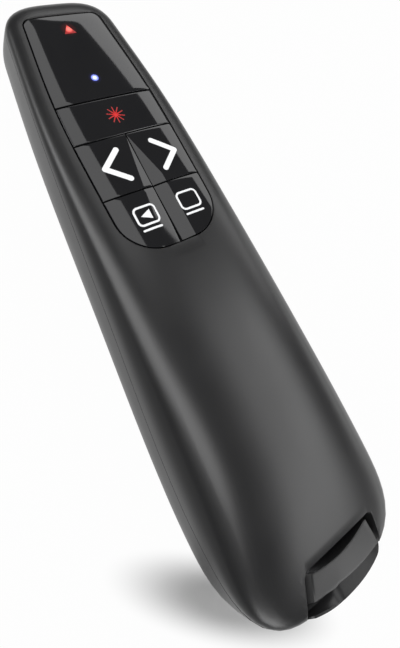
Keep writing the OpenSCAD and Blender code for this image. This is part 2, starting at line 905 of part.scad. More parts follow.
module receiver_plug_shell() {
    half_w = plug_w / 2;
    half_h = plug_h / 2;
    latch_hole = 2;
    latch_x = 2.9;
    latch_y = head_back + 7;
    color(steel)
        difference() {
            box([plug_x - half_w, head_back, plug_z - half_h],
                [plug_x + half_w, plug_tip, plug_z + half_h]);
            box([plug_x - half_w + shell_t, head_back - 1, plug_z - half_h + shell_t],
                [plug_x + half_w - shell_t, plug_tip + 1, plug_z + half_h - shell_t]);
            for (x = [-latch_x, latch_x])
                translate([plug_x + x, latch_y, plug_z])
                    box([-latch_hole / 2, -latch_hole / 2, 0], [latch_hole / 2, latch_hole / 2, big]);
        }
}
tongue_back = head_back + 2;
module receiver_tongue() {
    half = plug_w / 2 - shell_t - 0.05;
    color(satin_black)
        box([plug_x - half, tongue_back, plug_z - plug_h / 2 + shell_t],
            [plug_x + half, plug_tip - 0.4, plug_z]);
}
module receiver_contacts() {
    pad = [1, 7.4, 0.15];
    pad_run = 8.6;
    pad_back = plug_tip - pad_run;
    color(gold)
        for (x = [-3.5, -1, 1, 3.5])
            translate([plug_x + x - pad[0] / 2, pad_back, plug_z])
                cube(pad);
}

// Knob of the power switch at its off end
module power_knob() {
    start = power_y - knob_travel / 2;
    rib_w = 0.5;
    rib_pitch = 1.3;
    rib_deep = 0.4;
    lever_reach = 1.4;
    face_x = power_x + knob_proud;
    color(satin_black)
        difference() {
            union() {
                box([flange_x + fuse, start - knob_len / 2, power_z - knob_h / 2],
                    [face_x, start + knob_len / 2, power_z + knob_h / 2]);
                box([flange_x, start - knob_len / 2 - flange_more, power_z - flange_h / 2],
                    [flange_x + flange_t, start + knob_len / 2 + flange_more, power_z + flange_h / 2]);
                box([switch_case_x - lever_reach, start - lever / 2, power_z - lever / 2],
                    [flange_x + fuse, start + lever / 2, power_z + lever / 2]);
            }
            for (k = [-1 : 1])
                translate([face_x, start + rib_pitch * k, 0])
                    box([-rib_deep, -rib_w / 2, 0], [1, rib_w / 2, big]);
        }
}
module power_switch_case() {
    room = (knob_travel + lever) / 2 + lever_fit;
    pocket_deep = 1.8;
    color(steel)
        difference() {
            translate([switch_case_x, power_y, power_z])
                box([-switch_case_deep, -switch_case_len / 2, -switch_case_h / 2],
                    [0, switch_case_len / 2, switch_case_h / 2]);
            box([switch_case_x - pocket_deep, power_y - room, power_z - lever / 2 - lever_fit],
                [switch_case_x + 1, power_y + room, power_z + lever / 2 + lever_fit]);
        }
}

module casing_screws() {
    slot_long = 2.2;
    slot_wide = 0.5;
    slot_deep = 0.7;
    slot = [slot_long, slot_wide, 2 * slot_deep];
    color(steel)
        for (at = casing_screw_places) {
            difference() {
                post(at[0], at[1], screw_seat - head_h, screw_seat, screw_head_d);
                translate([at[0], at[1], screw_seat - head_h])
                    for (turn = [0, 90])
                        rotate([0, 0, turn])
                            cube(slot, center = true);
            }
            post(at[0], at[1], screw_seat - fuse, screw_seat + screw_len, screw_d);
        }
}

upper_casing();
lower_casing();
battery_door();
indicator_window();
laser_button();
previous_button();
next_button();
play_button();
blank_screen_button();
plunger(laser_key_at);  // laser_plunger
plunger(previous_key_at);  // previous_plunger
plunger(next_key_at);  // next_plunger
plunger(play_key_at);  // play_plunger
plunger(screen_key_at);  // blank_screen_plunger
key_switches();
circuit_board();
board_screws();
radio_chip();
crystal();
pointer_led();
pointer_light_guide();
status_led();
status_light_guide();
laser_barrel();
laser_diode();
laser_lens();
laser_window();
laser_leads();
left_cell();
right_cell();
front_spring_contact();
front_plate_contact();
rear_bridge_contact();
receiver_tray();
receiver_head();
receiver_board();
receiver_plug_shell();
receiver_tongue();
receiver_contacts();
power_knob();
power_switch_case();
casing_screws();
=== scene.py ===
# %% [markdown]
# # A wireless presentation clicker
# The real object is a hand-held remote for slides. It has two satin casings that meet at a
# seam along the sides, a glossy panel of keys, a receiver stored in the tail and a battery
# door underneath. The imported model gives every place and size. These cells give the
# finishes and model again, in smooth surfaces, the pieces whose roundness the eye would miss.

import math

import bmesh
import bpy
from mathutils import Matrix, Vector


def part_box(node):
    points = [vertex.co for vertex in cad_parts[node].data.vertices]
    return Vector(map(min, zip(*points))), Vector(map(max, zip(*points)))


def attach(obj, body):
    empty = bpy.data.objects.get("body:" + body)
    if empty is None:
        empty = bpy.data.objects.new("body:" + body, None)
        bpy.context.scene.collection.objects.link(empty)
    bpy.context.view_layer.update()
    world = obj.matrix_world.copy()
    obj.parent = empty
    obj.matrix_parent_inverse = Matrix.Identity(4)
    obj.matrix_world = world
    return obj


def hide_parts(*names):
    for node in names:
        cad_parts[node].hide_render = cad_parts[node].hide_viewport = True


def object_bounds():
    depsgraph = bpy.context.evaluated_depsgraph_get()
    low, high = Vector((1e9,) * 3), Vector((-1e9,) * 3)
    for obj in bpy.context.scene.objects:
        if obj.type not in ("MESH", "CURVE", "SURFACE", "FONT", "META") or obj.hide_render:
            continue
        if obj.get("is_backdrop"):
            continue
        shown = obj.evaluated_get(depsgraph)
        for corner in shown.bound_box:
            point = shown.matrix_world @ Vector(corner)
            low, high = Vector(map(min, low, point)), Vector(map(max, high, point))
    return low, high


MM = 0.001
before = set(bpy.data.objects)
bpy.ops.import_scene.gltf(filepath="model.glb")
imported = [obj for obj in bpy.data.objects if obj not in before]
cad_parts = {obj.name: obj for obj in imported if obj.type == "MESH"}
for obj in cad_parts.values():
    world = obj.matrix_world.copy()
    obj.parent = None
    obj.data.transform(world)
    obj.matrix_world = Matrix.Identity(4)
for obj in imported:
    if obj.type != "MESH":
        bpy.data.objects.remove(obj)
cad_low, cad_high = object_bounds()
print("nodes:", len(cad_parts))
print("box in mm:", [round(size / MM, 1) for size in cad_high - cad_low])


def node_box(node):
    """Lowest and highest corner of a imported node, in millimetres."""
    low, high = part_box(node)
    return low / MM, high / MM


# %% [markdown]
# ## The body's form
# The body is one long rounded bar: its plan, its crown and its seam are smooth curves
# through a few stations, and each section is a squared oval. Moulded casings are drawn the
# same way, so the same few numbers give the outer skin, the inner skin and the key tops.

# %% Curves of the body, in millimetres
TAIL, NOSE = cad_low.y / MM, cad_high.y / MM
HALF_WIDTHS = [(TAIL, 19.2), (-38, 19.1), (0, 17.25), (35, 15.05), (NOSE, 11.4)]
CROWNS = [(TAIL, 21.4), (-38, 24.5), (0, 23), (35, 19.6), (NOSE, 17)]
SEAMS = [(TAIL, 19), (-38, 13.4), (0, 14.6), (35, 15.8), (NOSE, 13.6)]
DOME_POWER, TUB_POWER = 3.4, 3.6
TAIL_ROUND, TAIL_POWER = 20, 3.7
NOSE_ROUND, NOSE_POWER = 7.6, 2.8
BELLY = 1.6
WALL = 1.8


def curve(stations, y):
    """Smooth curve through a list of (place, value) stations."""
    last = len(stations) - 1
    i = max(k for k in range(last) if k == 0 or stations[k][0] <= y)

    def slope(k):
        a, b = max(k - 1, 0), min(k + 1, last)
        return (stations[b][1] - stations[a][1]) / (stations[b][0] - stations[a][0])

    step = stations[i + 1][0] - stations[i][0]
    t = (y - stations[i][0]) / step
    rise = (3 - 2 * t) * t * t
    bend = (t**3 - 2 * t * t + t) * slope(i) + (t**3 - t * t) * slope(i + 1)
    return (1 - rise) * stations[i][1] + rise * stations[i + 1][1] + step * bend


def kept(y, inset=0):
    """Share of the section that the rounded nose and tail leave at y."""
    place = y * NOSE / (NOSE - inset)
    nose = max(0, (place - NOSE + NOSE_ROUND) / NOSE_ROUND)
    tail = max(0, (TAIL + TAIL_ROUND - place) / TAIL_ROUND)
    return max(0, 1 - nose**NOSE_POWER - tail**TAIL_POWER)


def partner(share, power):
    """The other coordinate of a squared oval of that power."""
    return max(0, 1 - min(1, abs(share)) ** power) ** (1 / power)


def dome_width(y, inset=0):
    return (curve(HALF_WIDTHS, y) - inset) * kept(y, inset) ** (1 / DOME_POWER)


def top_z(x, y):
    """Height of the key side over a point of the plan."""
    left = kept(y) - (abs(x) / curve(HALF_WIDTHS, y)) ** DOME_POWER
    return curve(SEAMS, y) + (curve(CROWNS, y) - curve(SEAMS, y)) * max(0, left) ** (1 / DOME_POWER)


print("palm is", round(2 * dome_width(-38), 1), "mm wide and", round(top_z(0, -38), 1), "mm high")

# %% [markdown]
# ## A small language for finishes
# A finish is a Principled shader with procedural signals in it. `Signal` lets such signals
# add and multiply like numbers, so that a printed mark can be written as plain geometry.

# %% Signals and finishes
class Signal:
    """A varying value of a finish."""

    def __init__(self, finish, socket):
        self.finish, self.socket = finish, socket

    def math(self, operation, *others):
        return self.finish.node("ShaderNodeMath", {"operation": operation}, dict(enumerate((self, *others))))

    def flipped(self, operation, other):
        return self.finish.node("ShaderNodeMath", {"operation": operation}, {0: other, 1: self})

    def __add__(self, other):
        return self.math("ADD", other)

    def __radd__(self, other):
        return self.flipped("ADD", other)

    def __sub__(self, other):
        return self.math("SUBTRACT", other)

    def __rsub__(self, other):
        return self.flipped("SUBTRACT", other)

    def __mul__(self, other):
        return self.math("MULTIPLY", other)

    def __rmul__(self, other):
        return self.flipped("MULTIPLY", other)

    def __truediv__(self, other):
        return self.math("DIVIDE", other)

    def __rtruediv__(self, other):
        return self.flipped("DIVIDE", other)

    def __pow__(self, other):
        return self.math("POWER", other)

    def __abs__(self):
        return self.math("ABSOLUTE")

    def least(self, other):
        return self.math("MINIMUM", other)

    def most(self, other):
        return self.math("MAXIMUM", other)

    def between(self, low, high):
        """0 at low, 1 at high, and a smooth rise in between."""
        inputs = {"Value": self, "From Min": low, "From Max": high}
        return self.finish.node("ShaderNodeMapRange", {"interpolation_type": "SMOOTHSTEP"}, inputs)


class Finish:
    """A material with one Principled shader."""

    def __init__(self, name, **constants):
        self.material = bpy.data.materials.new(name)
        self.material.use_nodes = True
        self.tree = self.material.node_tree
        self.shader = self.tree.nodes["Principled BSDF"]
        for socket, value in constants.items():
            self.shader.inputs[socket.replace("_", " ")].default_value = value
        self.spot = self.node("ShaderNodeTexCoord", output="Object")

    def node(self, kind, settings=None, inputs=None, output=0):
        """Adds a node: its settings first, then the values and links of its sockets."""
        made = self.tree.nodes.new(kind)
        for setting, value in (settings or {}).items():
            setattr(made, setting, value)
        for socket, value in (inputs or {}).items():
            if isinstance(value, Signal):
                self.tree.links.new(value.socket, made.inputs[socket])
            else:
                made.inputs[socket].default_value = value
        return Signal(self, made.outputs[output])

    def plan(self):
        """x, y and z on the object, in millimetres."""
        apart = self.node("ShaderNodeSeparateXYZ", inputs={0: self.spot}).socket.node
        return [Signal(self, socket) / MM for socket in apart.outputs]

    def noise(self, size, detail=2.0, stretch=(1, 1, 1)):
        """Cloudy noise from 0 to 1, its clouds about size millimetres across."""
        spread = self.node("ShaderNodeVectorMath", {"operation": "MULTIPLY"}, {0: self.spot, 1: stretch})
        inputs = {"Vector": spread, "Scale": 1 / (size * MM), "Detail": detail}
        return self.node("ShaderNodeTexNoise", inputs=inputs)

    def mix(self, share, first, second):
        """Colour that goes from first to second as share goes from 0 to 1."""
        inputs = {"Factor": share, 6: first, 7: second}
        return self.node("ShaderNodeMix", {"data_type": "RGBA"}, inputs, output=2)

    def give(self, **signals):
        for socket, signal in signals.items():
            self.tree.links.new(signal.socket, self.shader.inputs[socket.replace("_", " ")])

    def bump(self, height, depth, strength):
        """Relief of that depth, in millimetres, between heights of 0 and 1."""
        inputs = {"Height": height, "Distance": depth * MM, "Strength": strength}
        self.give(Normal=self.node("ShaderNodeBump", inputs=inputs))


def grey(value):
    return (value, value, value, 1)


def from_spot(x, y, spot):
    """Distance in the plan from a spot."""
    return ((x - spot[0]) ** 2 + (y - spot[1]) ** 2) ** 0.5


# %% [markdown]
# ## Satin black, the two casings
# The casings are moulded in black and lightly spark-eroded, so that light spreads into broad
# soft patches. A fine grain gives the satin, and a faint cloudiness keeps it from looking
# like paint.

# %% Satin black
def moulded(name, dark, light, roughness, grain_size, grain_depth):
    """Matt moulded plastic: two close shades, a fine grain and uneven gloss."""
    finish = Finish(name)
    cloud, grain = finish.noise(9, 3.0), finish.noise(grain_size, 2.0)
    finish.give(
        Base_Color=finish.mix(cloud * 0.6 + grain * 0.4, dark, light),
        Roughness=cloud * 0.06 + grain * 0.06 + (roughness - 0.06),
    )
    finish.bump(grain, grain_depth, 0.6)
    return finish.material


satin_black = moulded("satin_black", (0.009, 0.009, 0.0095, 1), (0.015, 0.015, 0.0155, 1), 0.31, 0.28, 0.008)
inner_black = moulded("inner_black", (0.008, 0.008, 0.0085, 1), (0.014, 0.014, 0.0145, 1), 0.55, 0.5, 0.02)
print("satin and inner black are ready")

# %% [markdown]
# ## Printed marks
# The keys carry a red starburst, two arrows and two small pictures. They are pad-printed,
# so each mark is a distance in the plan that turns into a crisp edge.

# %% Distances to the marks, in millimetres of the plan
def stroke(x, y, start, end, width):
    """Distance outside a round-ended stroke, negative inside it."""
    along = (end[0] - start[0], end[1] - start[1])
    length = along[0] ** 2 + along[1] ** 2
    dx, dy = x - start[0], y - start[1]
    share = ((dx * along[0] + dy * along[1]) / length).most(0).least(1)
    across_x, across_y = dx - share * along[0], dy - share * along[1]
    return (across_x**2 + across_y**2) ** 0.5 - width / 2


def plate(x, y, centre, size, radius):
    """Distance outside a rounded rectangle, negative inside it."""
    out_x = (abs(x - centre[0]) - (size[0] / 2 - radius)).most(0)
    out_y = (abs(y - centre[1]) - (size[1] / 2 - radius)).most(0)
    return (out_x**2 + out_y**2) ** 0.5 - radius


def frame_line(x, y, centre, size, radius, width):
    return abs(plate(x, y, centre, size, radius)) - width / 2


def arrow(x, y, tip, back, half, width):
    """Two strokes from the tip to points back across and half up or down from it."""
    upper, lower = (tip[0] + back, tip[1] + half), (tip[0] + back, tip[1] - half)
    return stroke(x, y, tip, upper, width).least(stroke(x, y, tip, lower, width))


def painted(distance, edge=0.05):
    """1 on the mark and 0 off it."""
    return 1 - distance.between(-edge, edge)


def starburst(x, y, centre, rays, reach, width):
    """Distance outside a burst of rays round a small disc, and the distance from its centre."""
    dx, dy = x - centre[0], y - centre[1]
    turn = 2 * math.pi / rays
    fold = ((dy.math("ARCTAN2", dx) / turn).math("FRACT") - 0.5) * turn
    away = (dx**2 + dy**2) ** 0.5
    across, along = abs(away * fold.math("SINE")), away * fold.math("COSINE")
    ray = (across - width / 2).most(along - reach)
    return ray.least(away - 2 * width), away


# %% [markdown]
# ## Gloss black, the panel
# The keys and the window are polished, so that they mirror the lamps in sharp bands. A few
# faint smears on a hard gloss keep the mirror from being perfect.

# %% Gloss black with its marks and lights
WHITE_INK, RED_INK, DULL_RED_INK = (0.86, 0.87, 0.88, 1), (0.62, 0.02, 0.02, 1), (0.38, 0.03, 0.03, 1)
BURST_AT, BURST_RAYS, BURST_REACH, BURST_LINE = (0.2, 34.3), 10, 1.95, 0.24
PREVIOUS_TIP, NEXT_TIP, ARROW_LINE = (-7.6, 23.35), (8.55, 23.35), 1.15
ARROW_BACK, ARROW_HALF = 4, 3.35
PLAY_AT, SCREEN_AT, INK_LINE = (-4.4, 11.9), (5.6, 12.1), 0.42
SCREEN_SIZE, SCREEN_CORNER, BAR_BELOW, BAR_HALF = (4.6, 3.7), 0.9, 2.9, 2
TRIANGLE_BACK, TRIANGLE_LONG, TRIANGLE_SLOPE = 1.25, 2.2, 0.46
pointer_low, pointer_high = node_box("pointer_light_guide")
status_low, status_high = node_box("status_light_guide")
POINTER_AT, STATUS_AT = (pointer_low + pointer_high) / 2, (status_low + status_high) / 2


def gloss(name, marks=None, glow=None):
    finish = Finish(name, Specular_IOR_Level=0.5)
    smear, dust = finish.noise(7, 3.0, (1, 0.35, 1)), finish.noise(0.8, 2.0)
    colour = finish.mix(smear, (0.008, 0.008, 0.009, 1), (0.012, 0.012, 0.013, 1))
    roughness = smear * 0.03 + dust * 0.02 + 0.02
    if marks:
        colour, ink = marks(finish, colour)
        roughness = roughness + ink * 0.2
    if glow:
        finish.give(Emission_Color=glow(finish))
        finish.shader.inputs["Emission Strength"].default_value = 1
    finish.give(Base_Color=colour, Roughness=roughness)
    finish.bump(finish.noise(5, 1.0), 0.004, 0.5)
    return finish.material


def screen_mark(x, y, centre):
    """A rounded frame with a short bar below it."""
    bar_y = centre[1] - BAR_BELOW
    bar = stroke(x, y, (centre[0] - BAR_HALF, bar_y), (centre[0] + BAR_HALF, bar_y), INK_LINE)
    return frame_line(x, y, centre, SCREEN_SIZE, SCREEN_CORNER, INK_LINE).least(bar)


def key_marks(finish, colour):
    """The inks on the five keys."""
    x, y, _ = finish.plan()
    arrows = arrow(x, y, PREVIOUS_TIP, ARROW_BACK, ARROW_HALF, ARROW_LINE)
    arrows = arrows.least(arrow(x, y, NEXT_TIP, -ARROW_BACK, ARROW_HALF, ARROW_LINE))
    pictures = screen_mark(x, y, PLAY_AT).least(screen_mark(x, y, SCREEN_AT))
    from_tip = x - (PLAY_AT[0] - TRIANGLE_BACK)
    triangle = (abs(y - PLAY_AT[1]) - from_tip * TRIANGLE_SLOPE).most(from_tip - TRIANGLE_LONG)
    white = painted(arrows.least(pictures).least(triangle))
    burst, away = starburst(x, y, BURST_AT, BURST_RAYS, BURST_REACH, BURST_LINE)
    red = painted(burst)
    colour = finish.mix(white, colour, WHITE_INK)
    colour = finish.mix(red, colour, finish.mix(away.between(0.5, 1.6), RED_INK, DULL_RED_INK))
    return colour, white.most(red)


def window_glow(finish):
    """Light that leaks into the dark window round the two lights."""
    x, y, _ = finish.plan()
    red_share = 1 - from_spot(x, y, POINTER_AT).between(0.8, 2.0)
    blue_share = 1 - from_spot(x, y, STATUS_AT).between(0.5, 1.5)
    glow = finish.mix(red_share, grey(0), (0.04, 0.002, 0.002, 1))
    return finish.mix(blue_share, glow, (0.008, 0.008, 0.06, 1))


gloss_black = gloss("gloss_black")
gloss_keys = gloss("gloss_keys", marks=key_marks)
gloss_window = gloss("gloss_window", glow=window_glow)
print("gloss black is ready, with its marks")

# %% [markdown]
# ## Lit plastic, metals, glass and the board
# The two lights shine through tinted plastic, brightest in the middle. Metals get a brushed
# or turned grain along their length, and the board's green mask shows faint copper lines.

# %% Small finishes
def lit(name, at, core, rim, reach):
    """Tinted plastic with a lamp below it."""
    finish = Finish(name, Roughness=0.2)
    x, y, _ = finish.plan()
    share = from_spot(x, y, at).between(0, reach)
    colour = finish.mix(share + finish.noise(0.4) * 0.1 - 0.05, core, rim)
    finish.give(Base_Color=colour, Emission_Color=colour)
    finish.shader.inputs["Emission Strength"].default_value = 0.9
    return finish.material


def metal(name, dark, light, roughness, stretch=(1, 0.12, 1)):
    """Bare or plated metal with a drawn grain."""
    finish = Finish(name, Metallic=1.0)
    grain, tarnish = finish.noise(0.12, 2.0, stretch), finish.noise(3, 3.0)
    finish.give(
        Base_Color=finish.mix(tarnish, dark, light),
        Roughness=grain * 0.12 + tarnish * 0.08 + (roughness - 0.1),
    )
    finish.bump(grain, 0.004, 0.5)
    return finish.material


def laminate():
    """Green solder mask over copper tracks."""
    finish = Finish("board_laminate", Coat_Weight=0.4, Coat_Roughness=0.15)
    x, y, _ = finish.plan()
    tracks = (((x * 1.6).math("FRACT") - 0.5) ** 2) ** 0.5
    broken = finish.noise(2.5, 1.0, (1, 0.3, 1)).between(0.52, 0.56)
    copper = tracks.between(0.3, 0.34) * broken
    colour = finish.mix(finish.noise(1.5), (0.012, 0.10, 0.035, 1), (0.02, 0.14, 0.05, 1))
    colour = finish.mix(copper, colour, (0.05, 0.24, 0.08, 1))
    finish.give(Base_Color=colour, Roughness=finish.noise(0.6) * 0.15 + 0.3)
    finish.bump(copper, 0.03, 0.5)
    return finish.material


red_light = lit("red_light", POINTER_AT, (0.95, 0.14, 0.11, 1), (0.2, 0.005, 0.005, 1), 1.1)
blue_light = lit("blue_light", STATUS_AT, (0.72, 0.8, 1.0, 1), (0.1, 0.13, 0.5, 1), 0.75)
bright_steel = metal("bright_steel", (0.5, 0.5, 0.52, 1), (0.64, 0.64, 0.66, 1), 0.3)
barrel_brass = metal("barrel_brass", (0.6, 0.42, 0.16, 1), (0.74, 0.54, 0.24, 1), 0.32, (1, 3, 1))
gold_plating = metal("gold_plating", (0.8, 0.56, 0.2, 1), (0.88, 0.66, 0.28, 1), 0.22)
board_laminate = laminate()


def clear_glass():
    finish = Finish("clear_lens", Transmission_Weight=0.9, IOR=1.5)
    film = finish.noise(1.2)
    finish.give(
        Base_Color=finish.mix(film, (0.78, 0.8, 0.84, 1), (0.88, 0.9, 0.93, 1)),
        Roughness=film * 0.05 + 0.01,
    )
    return finish.material


clear_lens = clear_glass()
print("materials:", len(bpy.data.materials))

# %% [markdown]
# ## Tools for smooth meshes
# A piece is worked in millimetres and handed over by `place_piece`, which brings it to
# metres, gives it its finish and lets it ride on its body. A skin starts as a flat grid that
# a formula bends into place, as a sheet is formed over a mould.

# %% Mesh tools
def add_object(name, data):
    made = bpy.data.objects.new(name, data)
    bpy.context.scene.collection.objects.link(made)
    return made


def rescale(work, factor):
    bmesh.ops.scale(work, vec=(factor, factor, factor), verts=work.verts)


def place_piece(mesh_work, name, finish, slot, body, stands_for=(), crease=35):
    """Turns worked geometry into a piece that rides on a body."""
    bmesh.ops.recalc_face_normals(mesh_work, faces=mesh_work.faces)
    rescale(mesh_work, MM)
    mesh = bpy.data.meshes.new(name)
    mesh_work.to_mesh(mesh)
    mesh_work.free()
    mesh.shade_smooth()
    mesh.set_sharp_from_angle(angle=math.radians(crease))
    mesh.materials.append(finish)
    piece = add_object(name, mesh)
    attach(piece, body)
    if stands_for:
        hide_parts(*stands_for)
    print(name, "has", len(mesh.polygons), "faces")
    return piece


def bent_grid(columns, rows, place, open_at=None):
    """A sheet of columns by rows faces, bent by place(column, row) and merged where it meets."""
    work = bmesh.new()
    bmesh.ops.create_grid(work, x_segments=columns, y_segments=rows, size=1)

    def cell(point):
        return (point.x + 1) / 2 * columns, (point.y + 1) / 2 * rows

    if open_at:
        holes = [face for face in work.faces if open_at(*cell(face.calc_center_median()))]
        bmesh.ops.delete(work, geom=holes, context="FACES")
    for vertex in work.verts:
        column, row = cell(vertex.co)
        vertex.co = place(round(column), round(row))
    bmesh.ops.remove_doubles(work, verts=work.verts, dist=1e-4)
    return work


def thicken(work, depth):
    """Gives a sheet a body that deep below it."""
    below = bmesh.ops.extrude_face_region(work, geom=list(work.faces))["geom"]
    moved = [item for item in below if isinstance(item, bmesh.types.BMVert)]
    bmesh.ops.translate(work, vec=(0, 0, -depth), verts=moved)


def steps(start, end, count):
    """Evenly spaced values from start up to, but without, end."""
    return [start + (end - start) * k / count for k in range(count)]


def round_bevel(work, edges, width, segments=3):
    return bmesh.ops.bevel(
        work,
        geom=edges,
        offset=width,
        segments=segments,
        profile=0.5,
        affect="EDGES",
        clamp_overlap=True,
        material=-1,
    )


def sharp_edges(work, angle=30, chosen=lambda middle: True):
    found = [edge for edge in work.edges if len(edge.link_faces) == 2]
    found = [edge for edge in found if edge.calc_face_angle() > math.radians(angle)]
    return [edge for edge in found if chosen((edge.verts[0].co + edge.verts[1].co) / 2)]


def block(low, high, radius=0.0, axis=2):
    """A box, its edges along one axis rounded."""
    work = bmesh.new()
    bmesh.ops.create_cube(work, size=1)
    low, high = Vector(low), Vector(high)
    bmesh.ops.scale(work, vec=high - low, verts=work.verts)
    bmesh.ops.translate(work, vec=(low + high) / 2, verts=work.verts)
    if radius:
        least = 0.9 * (high - low)[axis]
        along = [e for e in work.edges if abs((e.verts[1].co - e.verts[0].co)[axis]) > least]
        round_bevel(work, along, radius, 6)
    return work


def spun(profile, centre, axis, count=48):
    """A turned piece: a profile of (along, radius) points spun about an axis of the frame."""
    work = bmesh.new()
    side = Vector((0, 0, 1)) if axis != 2 else Vector((1, 0, 0))
    forward = Vector([1.0 if k == axis else 0.0 for k in range(3)])
    points = [Vector(centre) + forward * along + side * radius for along, radius in profile]
    line = [work.verts.new(point) for point in points]
    edges = [work.edges.new(pair) for pair in zip(line, line[1:])]
    bmesh.ops.spin(
        work,
        geom=line + edges,
        cent=centre,
        axis=forward,
        angle=2 * math.pi,
        steps=count,
        use_merge=True,
    )
    bmesh.ops.remove_doubles(work, verts=work.verts, dist=1e-4)
    return work


def cut(piece, *cutters):
    """Takes cutters, worked in millimetres, out of a piece."""
    for cutter in cutters:
        bmesh.ops.recalc_face_normals(cutter, faces=cutter.faces)
        rescale(cutter, MM)
        mesh = bpy.data.meshes.new("cutter")
        cutter.to_mesh(mesh)
        cutter.free()
        tool = add_object("cutter", mesh)
        modifier = piece.modifiers.new("cut", "BOOLEAN")
        modifier.operation, modifier.solver, modifier.object = "DIFFERENCE", "EXACT", tool
        bpy.context.view_layer.update()
        graph = bpy.context.evaluated_depsgraph_get()
        result = bpy.data.meshes.new_from_object(piece.evaluated_get(graph))
        piece.modifiers.remove(modifier)
        piece.data = result
        bpy.data.objects.remove(tool)


# %% [markdown]
# ## The outline of the panel
# The panel is a long tongue with a rounded lower end. Its outline also shapes the opening in
# the upper casing and, shrunk by the gap, every key.

# %% Panel outline
window_low, window_high = node_box("indicator_window")
laser_low, laser_high = node_box("laser_button")
page_low, _ = node_box("previous_button")
small_low, _ = node_box("play_button")
KEY_GAP = window_low.y - laser_high.y
PANEL_TOP = window_high.y + KEY_GAP
PANEL_END = small_low.y - KEY_GAP
PANEL_STATIONS = [(PANEL_END, 10.8), (page_low.y, 11.2), (laser_high.y, 11.1), (PANEL_TOP, 8.8)]
BOTTOM_ROUND, TOP_ROUND = 7.8, 1.8


def corner(radius, into):
    return radius - math.sqrt(max(0, radius**2 - into**2))


def panel_half(y, shrink=0.0):
    low = corner(BOTTOM_ROUND - shrink, max(0, PANEL_END + BOTTOM_ROUND - y))
    high = corner(TOP_ROUND - shrink, max(0, y - PANEL_TOP + TOP_ROUND))
    return curve(PANEL_STATIONS, y) - shrink - low - high


print("panel from", round(PANEL_END, 2), "to", round(PANEL_TOP, 2), "mm, gap", round(KEY_GAP, 2))

# %% [markdown]
# ## The two casings
# Each casing is a shell 1.8 mm thick. One row of the grid runs right round its section: out
# over the skin, round the rim, back along the inner skin and round the other rim. The rim
# steps in by half a millimetre beside the seam, which is what draws the dark line on the
# real sides. At both ends the rows close to a point.

# %% Rows and sections of the shells
SEAM_GAP, SEAM_DEEP = 0.09, 0.5
FLANK, SHOULDER, MIDDLE = 12, 12, 40
END_TURN = 0.8
PALM_SPREAD, SPREAD_RUN = 0.62, 24


def end_shares(power):
    """Places in a round end between which its section grows in even steps."""
    turn = partner(END_TURN, power) ** (power / DOME_POWER)
    return [partner(size ** (DOME_POWER / power), power) for size in steps(0, turn, 10)]


def body_rows(through):
    """Places along the body, close together in the round ends, through the given places."""
    panel_share = (PANEL_TOP - NOSE) / NOSE_ROUND + 1
    tail = end_shares(TAIL_POWER) + steps(END_TURN, 0, 8)
    nose = steps(END_TURN, panel_share, 5)[::-1] + end_shares(NOSE_POWER)[::-1]
    tail_rows = [TAIL + TAIL_ROUND * (1 - share) for share in tail]
    return tail_rows + through + [NOSE - NOSE_ROUND * (1 - share) for share in nose]


def flank_shares(edge, power, first):
    """(across, up) shares of a squared oval, from its seam to an edge line."""
    turn = max(0.5 ** (1 / power), edge + 0.05)
    up = steps(first, partner(turn, power), FLANK)
    shares = [(partner(value, power), value) for value in up]
    return shares + [(value, partner(value, power)) for value in steps(turn, edge, SHOULDER)]


def skin_line(y, inset, edge_x, upward):
    """Points of one skin at y, from the right seam over the middle to the left one."""
    seam = curve(SEAMS, y)
    if upward:
        power, deep = DOME_POWER, curve(CROWNS, y) - seam - inset
    else:
        power, deep = TUB_POWER, seam - inset + BELLY
    size = kept(y, inset) ** (1 / power)
    wide, deep = max(1e-6, (curve(HALF_WIDTHS, y) - inset) * size), max(1e-6, deep * size)
    gap = min(SEAM_GAP, 0.3 * deep) if inset == 0 else 0
    if upward:
        edge = min(0.9, edge_x(wide))
    else:
        edge = partner(min(1, (seam - inset) / deep), power)
    shares = flank_shares(edge, power, gap / deep)
    middle = [(value, partner(value, power)) for value in steps(edge, -edge, MIDDLE)]
    shares = shares + middle + [(-across, up) for across, up in [middle[0]] + shares[::-1]]
    sign = 1 if upward else -1
    floor = -1e9 if upward else inset
    return [Vector((wide * across, y, max(floor, seam + sign * deep * up))) for across, up in shares]


def rim_line(y, side, upward):
    """The stepped rim beside the seam: two points, from the outer skin inwards."""
    seam, sign = curve(SEAMS, y), 1 if upward else -1
    size = kept(y) ** (1 / DOME_POWER)
    wide = curve(HALF_WIDTHS, y) * size
    wide -= min(SEAM_DEEP, 0.3 * wide)
    gap = min(SEAM_GAP, SEAM_GAP * size * 2)
    return [Vector((side * wide, y, seam + sign * gap)), Vector((side * wide, y, seam))]


def inner_place(y):
    """Where a row of the outer skin lies on the inner skin."""
    if y > PANEL_TOP:
        return PANEL_TOP + (y - PANEL_TOP) * (NOSE - WALL - PANEL_TOP) / (NOSE - PANEL_TOP)
    turn = TAIL + TAIL_ROUND
    return y if y > turn else turn + (y - turn) * (TAIL_ROUND - WALL) / TAIL_ROUND


def shell_row(y, upward, opening):
    """The closed section of a casing at y."""
    outer = skin_line(y, 0, lambda wide: opening(y, wide, 0), upward)
    inner = skin_line(inner_place(y), WALL, lambda wide: opening(y, wide, WALL), upward)
    ring = outer + rim_line(y, -1, upward) + inner[::-1] + rim_line(y, 1, upward)[::-1]
    return ring + [outer[0]]


